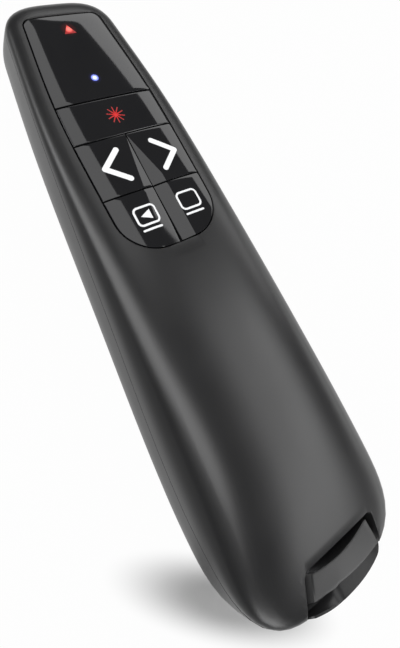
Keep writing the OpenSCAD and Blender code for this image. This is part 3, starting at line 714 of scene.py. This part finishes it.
def opening_share(y, wide, inset):
    """Share of the half width at which the columns beside the opening run."""
    if y > PANEL_TOP:
        return panel_half(PANEL_TOP) / dome_width(PANEL_TOP, inset)
    if y >= PANEL_END:
        return panel_half(y) / wide
    start = panel_half(PANEL_END) / dome_width(PANEL_END, inset)
    away = min(1, (PANEL_END - y) / SPREAD_RUN)
    return start + (PALM_SPREAD - start) * away * away * (3 - 2 * away)


low_turn, high_turn = PANEL_END + BOTTOM_ROUND, PANEL_TOP - TOP_ROUND
panel_rows = [low_turn - BOTTOM_ROUND * math.cos(math.pi / 2 * k / 14) for k in range(14)]
panel_rows += steps(low_turn, NOSE - NOSE_ROUND, 22) + steps(NOSE - NOSE_ROUND, high_turn, 2)
panel_rows += [high_turn + TOP_ROUND * math.sin(math.pi / 2 * k / 8) for k in range(9)]
upper_rows = body_rows(steps(TAIL + TAIL_ROUND, PANEL_END, 18) + panel_rows[:-1])
print("rows:", len(upper_rows))

# %% [markdown]
# ## The upper casing
# The upper shell has the opening for the panel. Its rows and columns run along the panel's
# outline, so the faces inside are left out, the two rims are bridged and the outer one is
# rounded. That gives a cleaner lip than a cut would.

# %% Upper casing
upper_rings = [shell_row(y, True, opening_share) for y in upper_rows]
columns = len(upper_rings[0]) - 1
first_row = min(range(len(upper_rows)), key=lambda k: abs(upper_rows[k] - PANEL_END))
last_row = min(range(len(upper_rows)), key=lambda k: abs(upper_rows[k] - PANEL_TOP))
near, far = FLANK + SHOULDER, FLANK + SHOULDER + MIDDLE


def panel_opening(column, row):
    mirrored = columns - 3 - column
    inside = near < column < far or near < mirrored < far
    return inside and first_row < row < last_row


upper = bent_grid(columns, len(upper_rings) - 1, lambda c, r: upper_rings[r][c], panel_opening)
rim = [edge for edge in upper.edges if edge.is_boundary]
bmesh.ops.bridge_loops(upper, edges=rim)
outer_rim = [e for e in rim if all(abs(v.co.z - top_z(v.co.x, v.co.y)) < 0.05 for v in e.verts)]
round_bevel(upper, outer_rim, 0.14, 2)
upper_casing = place_piece(
    upper, "upper_casing_skin", satin_black, "satin_casing", "casing", ["upper_casing"]
)

# %% [markdown]
# ## The lower casing
# The lower shell is a tub with a flat floor. It takes the same rows, so that both casings
# meet point by point along the seam.

# %% Lower casing
lower_rings = [shell_row(y, False, lambda y, wide, inset: 0) for y in upper_rows]
lower = bent_grid(len(lower_rings[0]) - 1, len(lower_rings) - 1, lambda c, r: lower_rings[r][c])
lower_casing = place_piece(
    lower, "lower_casing_skin", satin_black, "satin_casing", "casing", ["lower_casing"]
)

# %% [markdown]
# ## Openings in the casings
# The receiver's recess, the door's opening, the slot of the power switch, the beam hole and
# the screw wells are cut as in the mould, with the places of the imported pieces.

# %% Cut the openings
head_low, head_high = node_box("receiver_head")
door_low, door_high = node_box("battery_door")
knob_low, knob_high = node_box("power_knob")
barrel_low, barrel_high = node_box("laser_barrel")
cell_low, cell_high = node_box("right_cell")
HEAD_FRONT, HEAD_END = head_high.y, head_low.y
HEAD_TOP, HEAD_FLOOR = head_high.z, head_low.z
HEAD_LEFT, HEAD_RIGHT = (-7.0, -9.05), (9.5, 10.8)
HEAD_FIT, HEAD_ROOM, HEAD_SIDE = 0.4, 0.9, 0.6
RECESS_FRONT, RECESS_CORNER = HEAD_FRONT + HEAD_ROOM, 1.4
CELL_GAP, DOOR_GAP = 2 * cell_low.x, 0.3
BAY_HALF, BAY_BACK, BAY_FRONT = cell_high.x + CELL_GAP, door_low.y - DOOR_GAP, door_high.y + DOOR_GAP
SCREW_PLACES = [(-10.8, 9.8), (10.8, 9.8), (-11.4, -47), (11.4, -47)]
WELL_RADIUS, WELL_DEEP = 2.2, 4
KNOB_TRAVEL, SLOT_HALF, SLOT_RISE, SLOT_CORNER = 3, 4.5, 1.8, 0.6
SLOT_AT, SLOT_REACH = (knob_low + knob_high) / 2 + Vector((0, KNOB_TRAVEL / 2, 0)), (12, 30)
BEAM_AT, BEAM_RADIUS, BEAM_REACH = (barrel_low + barrel_high) / 2, 2, (59, 70)


def head_side(ends, y):
    """Side line of the receiver's head, which widens evenly from its front to the tail."""
    return ends[0] + (ends[1] - ends[0]) * (HEAD_FRONT - y) / (HEAD_FRONT - HEAD_END)


def recess_cutter():
    """A block whose left side runs along the head, its front corners rounded."""
    work = block((0, HEAD_END - 5, HEAD_FLOOR - HEAD_FIT), (1, RECESS_FRONT, 60))
    for vertex in work.verts:
        left = head_side(HEAD_LEFT, vertex.co.y) - HEAD_FIT
        vertex.co.x = left if vertex.co.x < 0.5 else HEAD_RIGHT[1] + HEAD_SIDE
    upright = [e for e in work.edges if abs(e.verts[0].co.z - e.verts[1].co.z) > 1]
    front = [e for e in upright if e.verts[0].co.y > HEAD_FRONT]
    round_bevel(work, front, RECESS_CORNER, 8)
    return work


def drill(reach, radius, centre, axis, count):
    """A rod for a round hole, from one place along the axis to another."""
    start, end = reach
    return spun([(start, 0), (start, radius), (end, radius), (end, 0)], centre, axis, count)


cut(upper_casing, recess_cutter())
door_opening = block((-BAY_HALF, BAY_BACK, -1), (BAY_HALF, BAY_FRONT, WALL + 0.5))
slot_low = (SLOT_REACH[0], SLOT_AT.y - SLOT_HALF, SLOT_AT.z - SLOT_RISE)
slot_high = (SLOT_REACH[1], SLOT_AT.y + SLOT_HALF, SLOT_AT.z + SLOT_RISE)
slot = block(slot_low, slot_high, SLOT_CORNER, axis=0)
beam = drill(BEAM_REACH, BEAM_RADIUS, (0, 0, BEAM_AT.z), 1, 48)
wells = [drill((-2, WELL_DEEP), WELL_RADIUS, (x, y, 0), 2, 40) for x, y in SCREW_PLACES]
cut(lower_casing, recess_cutter(), door_opening, slot, beam, *wells)
for casing in (upper_casing, lower_casing):
    print(casing.name, "has", len(casing.data.polygons), "faces after cutting")


def reopened(mesh, merge):
    """A mesh back in work, in millimetres, its points closer than merge joined."""
    work = bmesh.new()
    work.from_mesh(mesh)
    rescale(work, 1 / MM)
    bmesh.ops.remove_doubles(work, verts=work.verts, dist=merge)
    return work


def soften_cuts(piece, chosen, width):
    """Rounds the rims that the cuts have left, and smooths the shading."""
    work = reopened(piece.data, 0.02)
    round_bevel(work, sharp_edges(work, 40, chosen), width, 2)
    rescale(work, MM)
    work.to_mesh(piece.data)
    work.free()
    piece.data.shade_smooth()
    piece.data.set_sharp_from_angle(angle=math.radians(35))


def on_top_lip(middle):
    return middle.y < RECESS_FRONT + 0.5 and abs(middle.z - top_z(middle.x, middle.y)) < 0.25


SIDE_SKIN, NOSE_SKIN, DOOR_REACH = 14.5, 63.3, 25


def on_lower_rims(middle):
    """Rims on the outer skin of slot, beam hole, wells and door opening."""
    x, y, z = middle
    near_slot = x > SIDE_SKIN and abs(y - SLOT_AT.y) < SLOT_HALF + 0.5
    near_beam = y > NOSE_SKIN and math.hypot(x, z - BEAM_AT.z) < BEAM_RADIUS + 0.4
    near_well = any(math.hypot(x - well[0], y - well[1]) < WELL_RADIUS + 0.3 for well in SCREW_PLACES)
    near_door = abs(x) < BAY_HALF + 0.3 and abs(y - (BAY_BACK + BAY_FRONT) / 2) < DOOR_REACH
    return near_slot or near_beam or (near_well and z < 0.3) or (near_door and z < 0.05)


soften_cuts(upper_casing, on_top_lip, 0.3)
soften_cuts(lower_casing, on_lower_rims, 0.2)

# %% [markdown]
# ## Window and keys
# Window and keys are slabs of polished plastic that carry the casing's crown on. Left and
# right keys meet in a shallow valley that opens towards the palm, which catches the light
# on the real panel.

# %% Window and keys
VALLEY_START, VALLEY_SLOPES = laser_low.y, (0.15, 0.215)
LEFT_SPREAD, RIGHT_SPREAD, RIGHT_MOST = 0.18, 0.29, 3.1
SLAB, KEY_LIP = 1.5, 0.16
FOOT_RADIUS, FOOT_EDGE, FOOT_BELOW = 1.5, 0.2, 1.2
VALLEY_COLUMNS, CREASE_HALF = 8, 0.03


def valley_half(side, y):
    """Width of the valley on one side: it opens faster on the right and then stays."""
    run = max(0, VALLEY_START - y)
    return LEFT_SPREAD * run if side < 0 else min(RIGHT_SPREAD * run, RIGHT_MOST)


def slab_top(x, y):
    half = valley_half(-1 if x < 0 else 1, y)
    run = max(0, VALLEY_START - y) / (VALLEY_START - PANEL_END)
    slope = VALLEY_SLOPES[0] + (VALLEY_SLOPES[1] - VALLEY_SLOPES[0]) * run
    return top_z(x, y) - slope * max(0, half - abs(x))


def key_slab(node, columns=36, rows=30):
    """A key or the window between its rows, cut to the panel's outline."""
    low, high = node_box(node)
    side = -1 if high.x <= 0 else 1 if low.x >= 0 else 0

    def place(column, row):
        share = row / rows
        if low.y < PANEL_END + BOTTOM_ROUND - 2:
            share = 1 - math.cos(math.pi / 2 * share)
        elif node == "indicator_window":
            share = math.sin(math.pi / 2 * share)
        y = low.y + (high.y - low.y) * share
        half = panel_half(min(max(y, PANEL_END + KEY_GAP), PANEL_TOP - KEY_GAP), KEY_GAP)
        if not side:
            x = half * (2 * column / columns - 1)
            return Vector((x, y, slab_top(x, y)))
        start = KEY_GAP / 2
        crease = max(start + 2 * CREASE_HALF, min(valley_half(side, y), half - 0.5))
        if column <= VALLEY_COLUMNS:
            x = start + (crease - CREASE_HALF - start) * column / VALLEY_COLUMNS
        else:
            past = (column - VALLEY_COLUMNS - 1) / (columns - VALLEY_COLUMNS - 1)
            x = crease + CREASE_HALF + (half - crease - CREASE_HALF) * past
        return Vector((side * x, y, slab_top(side * x, y)))

    def on_top(vertex):
        return abs(vertex.co.z - slab_top(vertex.co.x, vertex.co.y)) < 0.02

    work = bent_grid(columns, rows, place)
    thicken(work, SLAB)
    bmesh.ops.recalc_face_normals(work, faces=work.faces)
    lip = [edge for edge in sharp_edges(work, 50) if all(on_top(vertex) for vertex in edge.verts)]
    round_bevel(work, lip, KEY_LIP, 3)
    return work


def key_foot(node):
    """The round foot below a key, from its plunger up into the slab."""
    low, high = node_box(node)
    plunger_low, plunger_high = node_box(node.replace("_button", "_plunger"))
    x, y = (plunger_low.x + plunger_high.x) / 2, (plunger_low.y + plunger_high.y) / 2
    start, end = low.z, high.z - FOOT_BELOW
    end_face = [(start, 0), (start, FOOT_RADIUS - FOOT_EDGE)]
    side = [(start + FOOT_EDGE, FOOT_RADIUS), (end, FOOT_RADIUS)]
    return spun(end_face + side, (x, y, 0), 2, 24)


KEYS = [
    ("laser_button", "laser_key"),
    ("previous_button", "previous_key"),
    ("next_button", "next_key"),
    ("play_button", "play_key"),
    ("blank_screen_button", "blank_screen_key"),
]
for node, body in KEYS:
    place_piece(key_slab(node), body + "_cap", gloss_keys, "gloss_panel", body, [node])
    place_piece(key_foot(node), body + "_foot", gloss_black, "gloss_panel", body)
window = key_slab("indicator_window", 40, 40)
place_piece(window, "indicator_window_cap", gloss_window, "gloss_panel", "casing", ["indicator_window"])

# %% [markdown]
# ## The two lights in the window
# Behind the nose a red triangle tells that the pointer is on, and a round blue-white spot
# shows the state of the link. Both are light guides, level with the window.

# %% Light guides
PROUD, GUIDE_DEEP, LEAST_HALF = 0.04, 2.4, 0.02


def light_guide(node, name, finish, slot, outline, columns=10, rows=12):
    """A short column of tinted plastic whose end follows the window."""
    low, high = node_box(node)

    def place(column, row):
        along = low.y + (high.y - low.y) * row / rows
        half = outline(along)
        x = half * (2 * column / columns - 1)
        return Vector((x, along, top_z(x, along) + PROUD))

    work = bent_grid(columns, rows, place)
    thicken(work, GUIDE_DEEP)
    return place_piece(work, name, finish, slot, "casing", [node])


def triangle_half(y):
    widest, length = (pointer_high.x - pointer_low.x) / 2, pointer_high.y - pointer_low.y
    return max(LEAST_HALF, (pointer_high.y - y) * widest / length)


def round_half(y):
    radius = (status_high.y - status_low.y) / 2
    return math.sqrt(max(LEAST_HALF**2, radius**2 - (y - STATUS_AT.y) ** 2))


light_guide("pointer_light_guide", "pointer_light", red_light, "red_light", triangle_half)
light_guide("status_light_guide", "status_light", blue_light, "blue_light", round_half)

# %% [markdown]
# ## The receiver's head
# The receiver is stored in the tail. Its head is a satin cap that widens towards the end. Its
# top carries the tail's slope on, its left edge is chamfered, and a curved ridge turns down to
# the end, steeper on the left, where a finger gets hold of it. The end swells a little past
# the tail, and a shallow scoop in the front edge takes a fingernail. The side view changes
# across the head, so it is drawn once for each row of the grid and then bent to the plan.

# %% Receiver head
def rounded_outline(points, radii, count=5):
    """A closed outline whose corners are rounded by arcs."""
    outline = []
    for k, (point, radius) in enumerate(zip(points, radii)):
        here = Vector(point)
        before, after = Vector(points[k - 1]) - here, Vector(points[(k + 1) % len(points)]) - here
        before.normalize()
        after.normalize()
        half = before.angle(after) / 2
        centre = here + (before + after).normalized() * (radius / math.sin(half))
        start = here + before * (radius / math.tan(half)) - centre
        end = here + after * (radius / math.tan(half)) - centre
        for step in range(count + 1):
            turned = start.slerp(end, step / count)
            outline.append(centre + turned)
    return outline


HEAD_ROWS, CHAMFER_ROWS = 48, [0, 0.1, 0.3, 0.6, 1.25, 1.35]
CHAMFER_WIDE, CHAMFER_DEEP = 1.3, 1.2
HEAD_SLOPE, CHIN_DROP, CHIN_IN = 0.17, 8.8, 2.2
RIDGE_IN, RIDGE_RUN, RIDGE_BEND = 3.4, -4.2, 3
BROW_SLOPE, NOTCH_SLOPE = 0.45, 0.85
NOTCH_FROM, NOTCH_TO, NOTCH_RIM, RIM_GROWTH = 0.34, 0.40, 1.1, 0.4
SECTION_CORNERS = [0.3, 0.15, 0.1, 0.3, 0.6, 0.6, 0.3]
FRONT_CORNER, END_CORNER = 0.8, 1.6
END_SWELL, SWELL_RUN, HEAD_HALF = 1.3, 2, 9.8
HEAD_MIDDLE = (HEAD_LEFT[0] + HEAD_RIGHT[0]) / 2
SCOOP_RADIUS, SCOOP_DEEP, SCOOP_FLOOR = 24, 1.2, 18.2


def head_row_x(row, y):
    """Place across the head: the first rows follow the chamfer on its left side."""
    left, right = head_side(HEAD_LEFT, y), head_side(HEAD_RIGHT, y)
    if row < len(CHAMFER_ROWS):
        return left + CHAMFER_ROWS[row]
    start, first = left + CHAMFER_ROWS[-1], len(CHAMFER_ROWS) - 1
    share = (row - first) / (HEAD_ROWS - first)
    return start + (right - start) * (0.5 * share + 0.5 * math.sin(math.pi / 2 * share))


def head_section(share):
    """Side view of the head, at a share of its width from the left."""
    ridge = HEAD_END + RIDGE_IN + RIDGE_RUN * share + RIDGE_BEND * share * share
    ridge_z = HEAD_TOP - HEAD_SLOPE * (HEAD_FRONT - ridge)
    brow_z = ridge_z - (ridge - HEAD_END) * BROW_SLOPE
    notched = 1 - min(1, max(0, (share - NOTCH_FROM) / (NOTCH_TO - NOTCH_FROM)))
    rim = HEAD_END + NOTCH_RIM * (1 + RIM_GROWTH * share)
    slope = BROW_SLOPE + 0.01 + (NOTCH_SLOPE - BROW_SLOPE) * notched
    points = [
        (HEAD_FRONT, HEAD_TOP),
        (ridge, ridge_z),
        (rim, ridge_z - (ridge - rim) * slope),
        (HEAD_END, brow_z),
        (HEAD_END, HEAD_TOP - CHIN_DROP),
        (HEAD_END + CHIN_IN, HEAD_FLOOR),
        (HEAD_FRONT, HEAD_FLOOR),
    ]
    step = [Vector((HEAD_FRONT, SCOOP_FLOOR)), Vector((HEAD_FRONT, SCOOP_FLOOR + 0.1))]
    return rounded_outline(points, SECTION_CORNERS) + step


end_left, end_right = head_side(HEAD_LEFT, HEAD_END), head_side(HEAD_RIGHT, HEAD_END)
row_shares = [(head_row_x(row, HEAD_END) - end_left) / (end_right - end_left) for row in range(HEAD_ROWS + 1)]
HEAD_SECTIONS = [head_section(share) for share in row_shares]


def head_place(column, row):
    """The section carried across and bent to the plan: tail's curve, corners, swell and scoop."""
    section = HEAD_SECTIONS[row]
    along, up = section[column % len(section)]
    x = head_row_x(row, along)
    inward, outward = x - head_side(HEAD_LEFT, along), HEAD_RIGHT[1] - x
    top = HEAD_TOP - HEAD_SLOPE * (HEAD_FRONT - along)
    up = min(up, top - CHAMFER_DEEP * max(0, 1 - inward / CHAMFER_WIDE))
    share = partner(abs(x) / curve(HALF_WIDTHS, TAIL), DOME_POWER) ** (DOME_POWER / TAIL_POWER)
    end = TAIL + TAIL_ROUND * (1 - share) + corner(END_CORNER, max(0, END_CORNER - outward))
    swell = END_SWELL * max(0, 1 - ((x - HEAD_MIDDLE) / HEAD_HALF) ** 2)
    end, along = end - swell, along - swell * min(1, max(0, (HEAD_END + SWELL_RUN - along) / SWELL_RUN))
    front = HEAD_FRONT - corner(FRONT_CORNER, max(0, FRONT_CORNER - inward))
    if up > SCOOP_FLOOR + 0.05 and along > HEAD_FRONT - 1:
        scoop = max(0, SCOOP_DEEP - (x - HEAD_MIDDLE) ** 2 / (2 * SCOOP_RADIUS))
        along, front = along - scoop, front - scoop
    return Vector((x, min(front, max(end, along)), up))


head = bent_grid(len(HEAD_SECTIONS[0]), HEAD_ROWS, head_place)
ends = [edge for edge in head.edges if edge.is_boundary]
bmesh.ops.holes_fill(head, edges=ends, sides=0)
bmesh.ops.recalc_face_normals(head, faces=head.faces)
round_bevel(head, [edge for edge in ends if edge.is_valid], 0.3, 3)
place_piece(head, "receiver_cap", satin_black, "satin_casing", "receiver", ["receiver_head"], 24)

# %% [markdown]
# ## Pieces with flat faces
# Door, knob, plug, contacts and the like are right as packed but for their knife edges. A
# copy of each gets its edges broken, as a mould or a press leaves them. The large faces are
# shaded flat, so that no soft shade runs across them.

# %% Soften the flat pieces
FLAT_AREA = 2


def softened(node, width, finish, slot, body):
    work = reopened(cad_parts[node].data, 1e-3)
    bmesh.ops.dissolve_limit(work, angle_limit=math.radians(1), verts=work.verts, edges=work.edges)
    round_bevel(work, sharp_edges(work), width)
    piece = place_piece(work, node + "_soft", finish, slot, body, [node])
    for face in piece.data.polygons:
        face.use_smooth = face.area < FLAT_AREA * MM**2


SOFTENED = [
    ("battery_door", 0.25, satin_black, "satin_casing", "door"),
    ("power_knob", 0.16, satin_black, "satin_casing", "power_slide"),
    ("receiver_plug_shell", 0.08, bright_steel, "bright_steel", "receiver"),
    ("receiver_tongue", 0.1, inner_black, "inner_plastic", "receiver"),
    ("receiver_contacts", 0.03, gold_plating, "gold_plating", "receiver"),
    ("receiver_board", 0.05, board_laminate, "board_laminate", "receiver"),
    ("circuit_board", 0.08, board_laminate, "board_laminate", "casing"),
    ("power_switch_case", 0.15, bright_steel, "bright_steel", "casing"),
    ("radio_chip", 0.08, inner_black, "inner_plastic", "casing"),
    ("crystal", 0.15, bright_steel, "bright_steel", "casing"),
]
for entry in SOFTENED:
    softened(*entry)

# %% [markdown]
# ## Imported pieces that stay
# Small parts inside, such as switches, screws and springs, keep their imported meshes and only
# get their finishes.

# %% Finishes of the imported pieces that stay
KEPT = [
    (bright_steel, ["key_switches", "board_screws", "casing_screws", "laser_diode"]),
    (bright_steel, ["front_spring_contact", "front_plate_contact", "rear_bridge_contact"]),
    (barrel_brass, ["laser_barrel"]),
    (gold_plating, ["laser_leads"]),
    (clear_lens, ["laser_lens", "laser_window"]),
    (red_light, ["pointer_led"]),
    (blue_light, ["status_led"]),
    (inner_black, ["receiver_tray", "laser_plunger", "previous_plunger", "next_plunger"]),
    (inner_black, ["play_plunger", "blank_screen_plunger"]),
]
for finish, nodes in KEPT:
    for node in nodes:
        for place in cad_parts[node].material_slots:
            place.material = finish
print("packed pieces that stay:", sum(len(nodes) for _, nodes in KEPT))

# %% [markdown]
# ## Cells
# Two slim cells lie head to tail. A cell is a drawn can in a printed wrap, crimped below its
# button, so it is turned from one profile: the can by how far inside its radius, then the
# button by its own radius.

# %% Cells
SLEEVE_SHIFT, SLEEVE_HALF, WRAP_HALF = 4, 15.5, 20.6
CAN = [
    (0, 1.1), (0.12, 0.5), (0.5, 0.12), (0.9, 0), (41.6, 0), (41.9, 0.1),
    (42.1, 0.35), (42.35, 0.35), (42.6, 0.05), (43.1, 0.05), (43.5, 0.5),
]
BUTTON = [(43.5, 2.6), (43.4, 2.1), (43.5, 1.9), (44.2, 1.85), (44.45, 1.6), (44.5, 0)]


def wrap():
    """Metallic wrap with a dark sleeve, and bare metal at both ends."""
    finish = Finish("cell_wrap")
    x, y, _ = finish.plan()
    middle = (cell_low.y + cell_high.y) / 2
    side = x / abs(x).most(0.01)
    sleeve = painted(abs((y - middle) * side + SLEEVE_SHIFT) - SLEEVE_HALF, 0.03)
    bare = painted(WRAP_HALF - abs(y - middle), 0.05)
    shine = finish.noise(0.3, 2.0, (1, 0.1, 1))
    colour = finish.mix(shine, (0.62, 0.4, 0.12, 1), (0.72, 0.5, 0.18, 1))
    colour = finish.mix(sleeve, colour, (0.03, 0.03, 0.035, 1))
    colour = finish.mix(bare, colour, (0.62, 0.62, 0.64, 1))
    finish.give(Base_Color=colour, Roughness=shine * 0.1 + 0.25, Metallic=1 - sleeve)
    finish.bump(shine, 0.004, 0.4)
    return finish.material


cell_wrap = wrap()
for node, direction in [("left_cell", 1), ("right_cell", -1)]:
    low, high = node_box(node)
    radius = (high.x - low.x) / 2
    centre = Vector(((low.x + high.x) / 2, 0, (low.z + high.z) / 2))
    start = low.y if direction > 0 else high.y
    profile = [(0, 0)] + [(along, radius - inside) for along, inside in CAN] + BUTTON
    turned = spun([(start + direction * along, away) for along, away in profile], centre, 1, 64)
    place_piece(turned, node + "_turned", cell_wrap, "cell_wrap", "casing", [node])

# %% [markdown]
# ## Fittings inside the lower casing
# Walls hold the cells, and four bosses take the casing screws. They are moulded with the
# casing, so they share its finish.

# %% Bay walls and screw bosses
BAY_WALL, WALL_FOOT, END_HIGH, SIDE_HIGH = 1, 1, 10, 7
BOSS_RADIUS, BOSS_TOP, SCREW_SEAT, SCREW_RADIUS, BOSS_FOOT = 3, 9, 4.6, 1.05, (0.3, 1)
outer = BAY_HALF + BAY_WALL
walls = [
    ((-outer, BAY_BACK - BAY_WALL, WALL_FOOT), (outer, BAY_BACK, END_HIGH)),
    ((-outer, BAY_FRONT, WALL_FOOT), (outer, BAY_FRONT + BAY_WALL, END_HIGH)),
    ((-outer, BAY_BACK, WALL_FOOT), (-BAY_HALF, BAY_FRONT, SIDE_HIGH)),
    ((BAY_HALF, BAY_BACK, WALL_FOOT), (outer, BAY_FRONT, SIDE_HIGH)),
]
for k, (low, high) in enumerate(walls):
    wall = block(low, high)
    round_bevel(wall, sharp_edges(wall, 60), 0.15, 2)
    place_piece(wall, f"bay_wall_{k + 1}", satin_black, "satin_casing", "casing")
well = [(BOSS_FOOT[0], WELL_RADIUS), (SCREW_SEAT, WELL_RADIUS), (SCREW_SEAT, SCREW_RADIUS)]
outside = [(BOSS_TOP, SCREW_RADIUS), (BOSS_TOP, BOSS_RADIUS), (BOSS_FOOT[1], BOSS_RADIUS)]
for k, (x, y) in enumerate(SCREW_PLACES):
    boss = spun(well + outside + well[:1], (x, y, 0), 2, 40)
    place_piece(boss, f"screw_boss_{k + 1}", satin_black, "satin_casing", "casing")

# %% [markdown]
# ## Camera
# The camera stands where the photograph was taken: close above the left side of the keys,
# looking down the body towards the tail.

# %% Camera
CAMERA_AT = Vector((-46.174, -6.9063, 107.0341)) * MM
RIGHT = Vector((0.79455826, -0.43857258, 0.41991816))
DOWN = Vector((-0.32568134, -0.89150973, -0.31486833))
FORWARD = Vector((0.51245374, 0.11342173, -0.85119133))
FOCAL_PIXELS, CENTRE_X, CENTRE_Y = 503.186, 203.324, 233.647
IMAGE_WIDE, IMAGE_HIGH = 400, 648
lens = bpy.data.cameras.new("photo_camera")
lens.sensor_width = 36
lens.lens = FOCAL_PIXELS / IMAGE_HIGH * lens.sensor_width
lens.shift_x = (IMAGE_WIDE / 2 - CENTRE_X) / IMAGE_HIGH
lens.shift_y = (CENTRE_Y - IMAGE_HIGH / 2) / IMAGE_HIGH
lens.clip_start = 0.005
camera = add_object("photo_camera", lens)
turned = Matrix((RIGHT, -DOWN, -FORWARD)).transposed().to_4x4()
camera.matrix_world = Matrix.Translation(CAMERA_AT) @ turned
bpy.context.scene.camera = camera
bpy.context.scene.view_settings.view_transform = "Standard"
print("lens", round(lens.lens, 2), "shift", round(lens.shift_x, 4), round(lens.shift_y, 4))

# %% [markdown]
# ## Floor
# A pale light table, as for a product photograph. It shines white by itself where the
# camera, glass or gloss sees it, less so in a painted shadow beside the tail, an oval of
# weaker glow in which the object's own shadow also shows. Glass and gloss see it dimmer
# towards the far left, a painted shade that keeps the lower left flank dark.

# %% Floor
floor_mesh = bmesh.new()
bmesh.ops.create_grid(floor_mesh, x_segments=8, y_segments=8, size=3)
mesh = bpy.data.meshes.new("table")
floor_mesh.to_mesh(mesh)
floor_mesh.free()
table = add_object("table", mesh)
# Painted shadow: an oval beside the tail where the table's glow drops from TABLE_GLOW to SHADE_GLOW.
SHADE_AT, SHADE_ALONG, SHADE_SIZE = (-14, -64), (-0.7, 0.714), (25, 7)
TABLE_GLOW, SHADE_GLOW = 0.98, 0.1
# Painted shade: towards the far left, glass and gloss see the table dimmer, so the lower left flank looks
# dark.
DIM_SIDE, BRIGHT_SIDE, DIM_GLOW = -60, 10, 0.1

paper = Finish("white_paper")
fleck = paper.noise(2, 2.0)
paper.give(Base_Color=paper.mix(fleck, grey(0.27), grey(0.30)), Roughness=fleck * 0.1 + 0.8)
x, y, _ = paper.plan()
# The oval of painted shadow, along and across its long axis.
dx, dy = x - SHADE_AT[0], y - SHADE_AT[1]
along = (dx * SHADE_ALONG[0] + dy * SHADE_ALONG[1]) / SHADE_SIZE[0]
across = (dy * SHADE_ALONG[0] - dx * SHADE_ALONG[1]) / SHADE_SIZE[1]
glow = ((along**2 + across**2) ** 0.5).between(0.3, 1.15) * (TABLE_GLOW - SHADE_GLOW) + SHADE_GLOW
ray = paper.node("ShaderNodeLightPath", output="Is Camera Ray").socket.node
mirrored = Signal(paper, ray.outputs["Is Glossy Ray"]).most(Signal(paper, ray.outputs["Is Transmission Ray"]))
# Painted shade in reflections: the table's glow falls off towards the left.
mirrored = mirrored * (x.between(DIM_SIDE, BRIGHT_SIDE) * (1 - DIM_GLOW) + DIM_GLOW)
seen = Signal(paper, ray.outputs["Is Camera Ray"]).most(mirrored)
white = paper.node("ShaderNodeEmission", inputs={"Color": grey(1.0), "Strength": 1.0})
lit_table = paper.tree.nodes.new("ShaderNodeMixShader")
paper.tree.links.new((seen * glow).socket, lit_table.inputs[0])
paper.tree.links.new(paper.shader.outputs[0], lit_table.inputs[1])
paper.tree.links.new(white.socket, lit_table.inputs[2])
paper.tree.links.new(lit_table.outputs[0], paper.tree.nodes["Material Output"].inputs["Surface"])
table.data.materials.append(paper.material)
table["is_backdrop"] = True
print("table is ready")

# %% [markdown]
# ## Lamps
# A few soft boxes stand where the reflections in the photograph place them: low to the right
# of the nose, above the nose, to the right of the palm, low on the right for the rim, behind
# the tail, on the left, and beside the left of the nose. The world adds a little even light.

# %% Lamps
def hang(name, centre, toward, upright, wide, high, brightness):
    """A rectangular lamp at a place that faces another, its height along upright, in metres."""
    lamp = bpy.data.lights.new(name, "AREA")
    lamp.shape, lamp.size, lamp.size_y = "RECTANGLE", wide, high
    lamp.energy = brightness * math.pi * wide * high
    back = (Vector(centre) - Vector(toward)).normalized()
    level = Vector(upright).cross(back).normalized()
    holder = add_object(name, lamp)
    facing = Matrix((level, back.cross(level), back)).transposed().to_4x4()
    holder.matrix_world = Matrix.Translation(centre) @ facing
    holder.visible_camera = False
    holder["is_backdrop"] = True


def soft_box(name, aim, azimuth, elevation, distance, spread, brightness, upright=(0, 0, 1)):
    """A lamp that faces aim from a direction; spread is its half width and height in degrees."""
    turn, lift = math.radians(azimuth), math.radians(elevation)
    away = Vector((math.cos(lift) * math.cos(turn), math.cos(lift) * math.sin(turn), math.sin(lift)))
    aim = Vector(aim) * MM
    wide, high = [2 * distance * math.tan(math.radians(half)) for half in spread]
    hang(name, aim + away * distance, aim, upright, wide, high, brightness)


def ceiling_box(name, aim, height, across, along, brightness):
    """A level lamp over aim; across and along are its reach as shares of its height."""
    middle = Vector((sum(across) / 2, sum(along) / 2, 1))
    centre = Vector(aim) * MM + middle * height
    wide, high = (across[1] - across[0]) * height, (along[1] - along[0]) * height
    hang(name, centre, centre - Vector((0, 0, 1)), (0, 1, 0), wide, high, brightness)


PANEL_RIGHT, PANEL_LEFT, PALM = (8, 33, 19.5), (-7.5, 33, 19.5), (0, -25, 20)
soft_box("low_right_box", PANEL_RIGHT, 38, 32.3, 1.5, (34, 8), 2.5)
ceiling_box("nose_box", PANEL_LEFT, 1.2, (-0.12, 0.322), (0.22, 1.45), 1.8)
ceiling_box("palm_box", PALM, 1.0, (0.52, 0.90), (-1.5, 0.15), 4.8)
soft_box("rim_box", PALM, -22, 9, 1.5, (36, 7), 1.6)
soft_box("tail_box", (0, -50, 12), -108, 20, 1.2, (14, 10), 4.4)
soft_box("left_box", PALM, 171, 46, 1.2, (13, 37), 4.4, upright=(-0.47, 0.74, -0.49))
soft_box("flank_box", (-14, 25, 12), 140, 4, 1.3, (12, 26), 1.8)

WORLD_GREY = 0.11
world = bpy.data.worlds.new("studio")
world.use_nodes = True
bpy.context.scene.world = world
tree = world.node_tree
path = tree.nodes.new("ShaderNodeLightPath")
shade = tree.nodes.new("ShaderNodeMix")
shade.data_type = "RGBA"
shade.inputs[6].default_value, shade.inputs[7].default_value = grey(WORLD_GREY), grey(1.0)
tree.links.new(path.outputs["Is Camera Ray"], shade.inputs["Factor"])
tree.links.new(shade.outputs[2], tree.nodes["Background"].inputs["Color"])
print("lamps:", [lamp.name for lamp in bpy.data.lights])

# %% [markdown]
# ## The end
# The finished model is measured once more.

# %% Sizes, and the end
low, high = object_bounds()
{"cad": [list(cad_low), list(cad_high)], "visual": [list(low), list(high)]}
print("visual box in mm:", [round(size / MM, 2) for size in high - low])
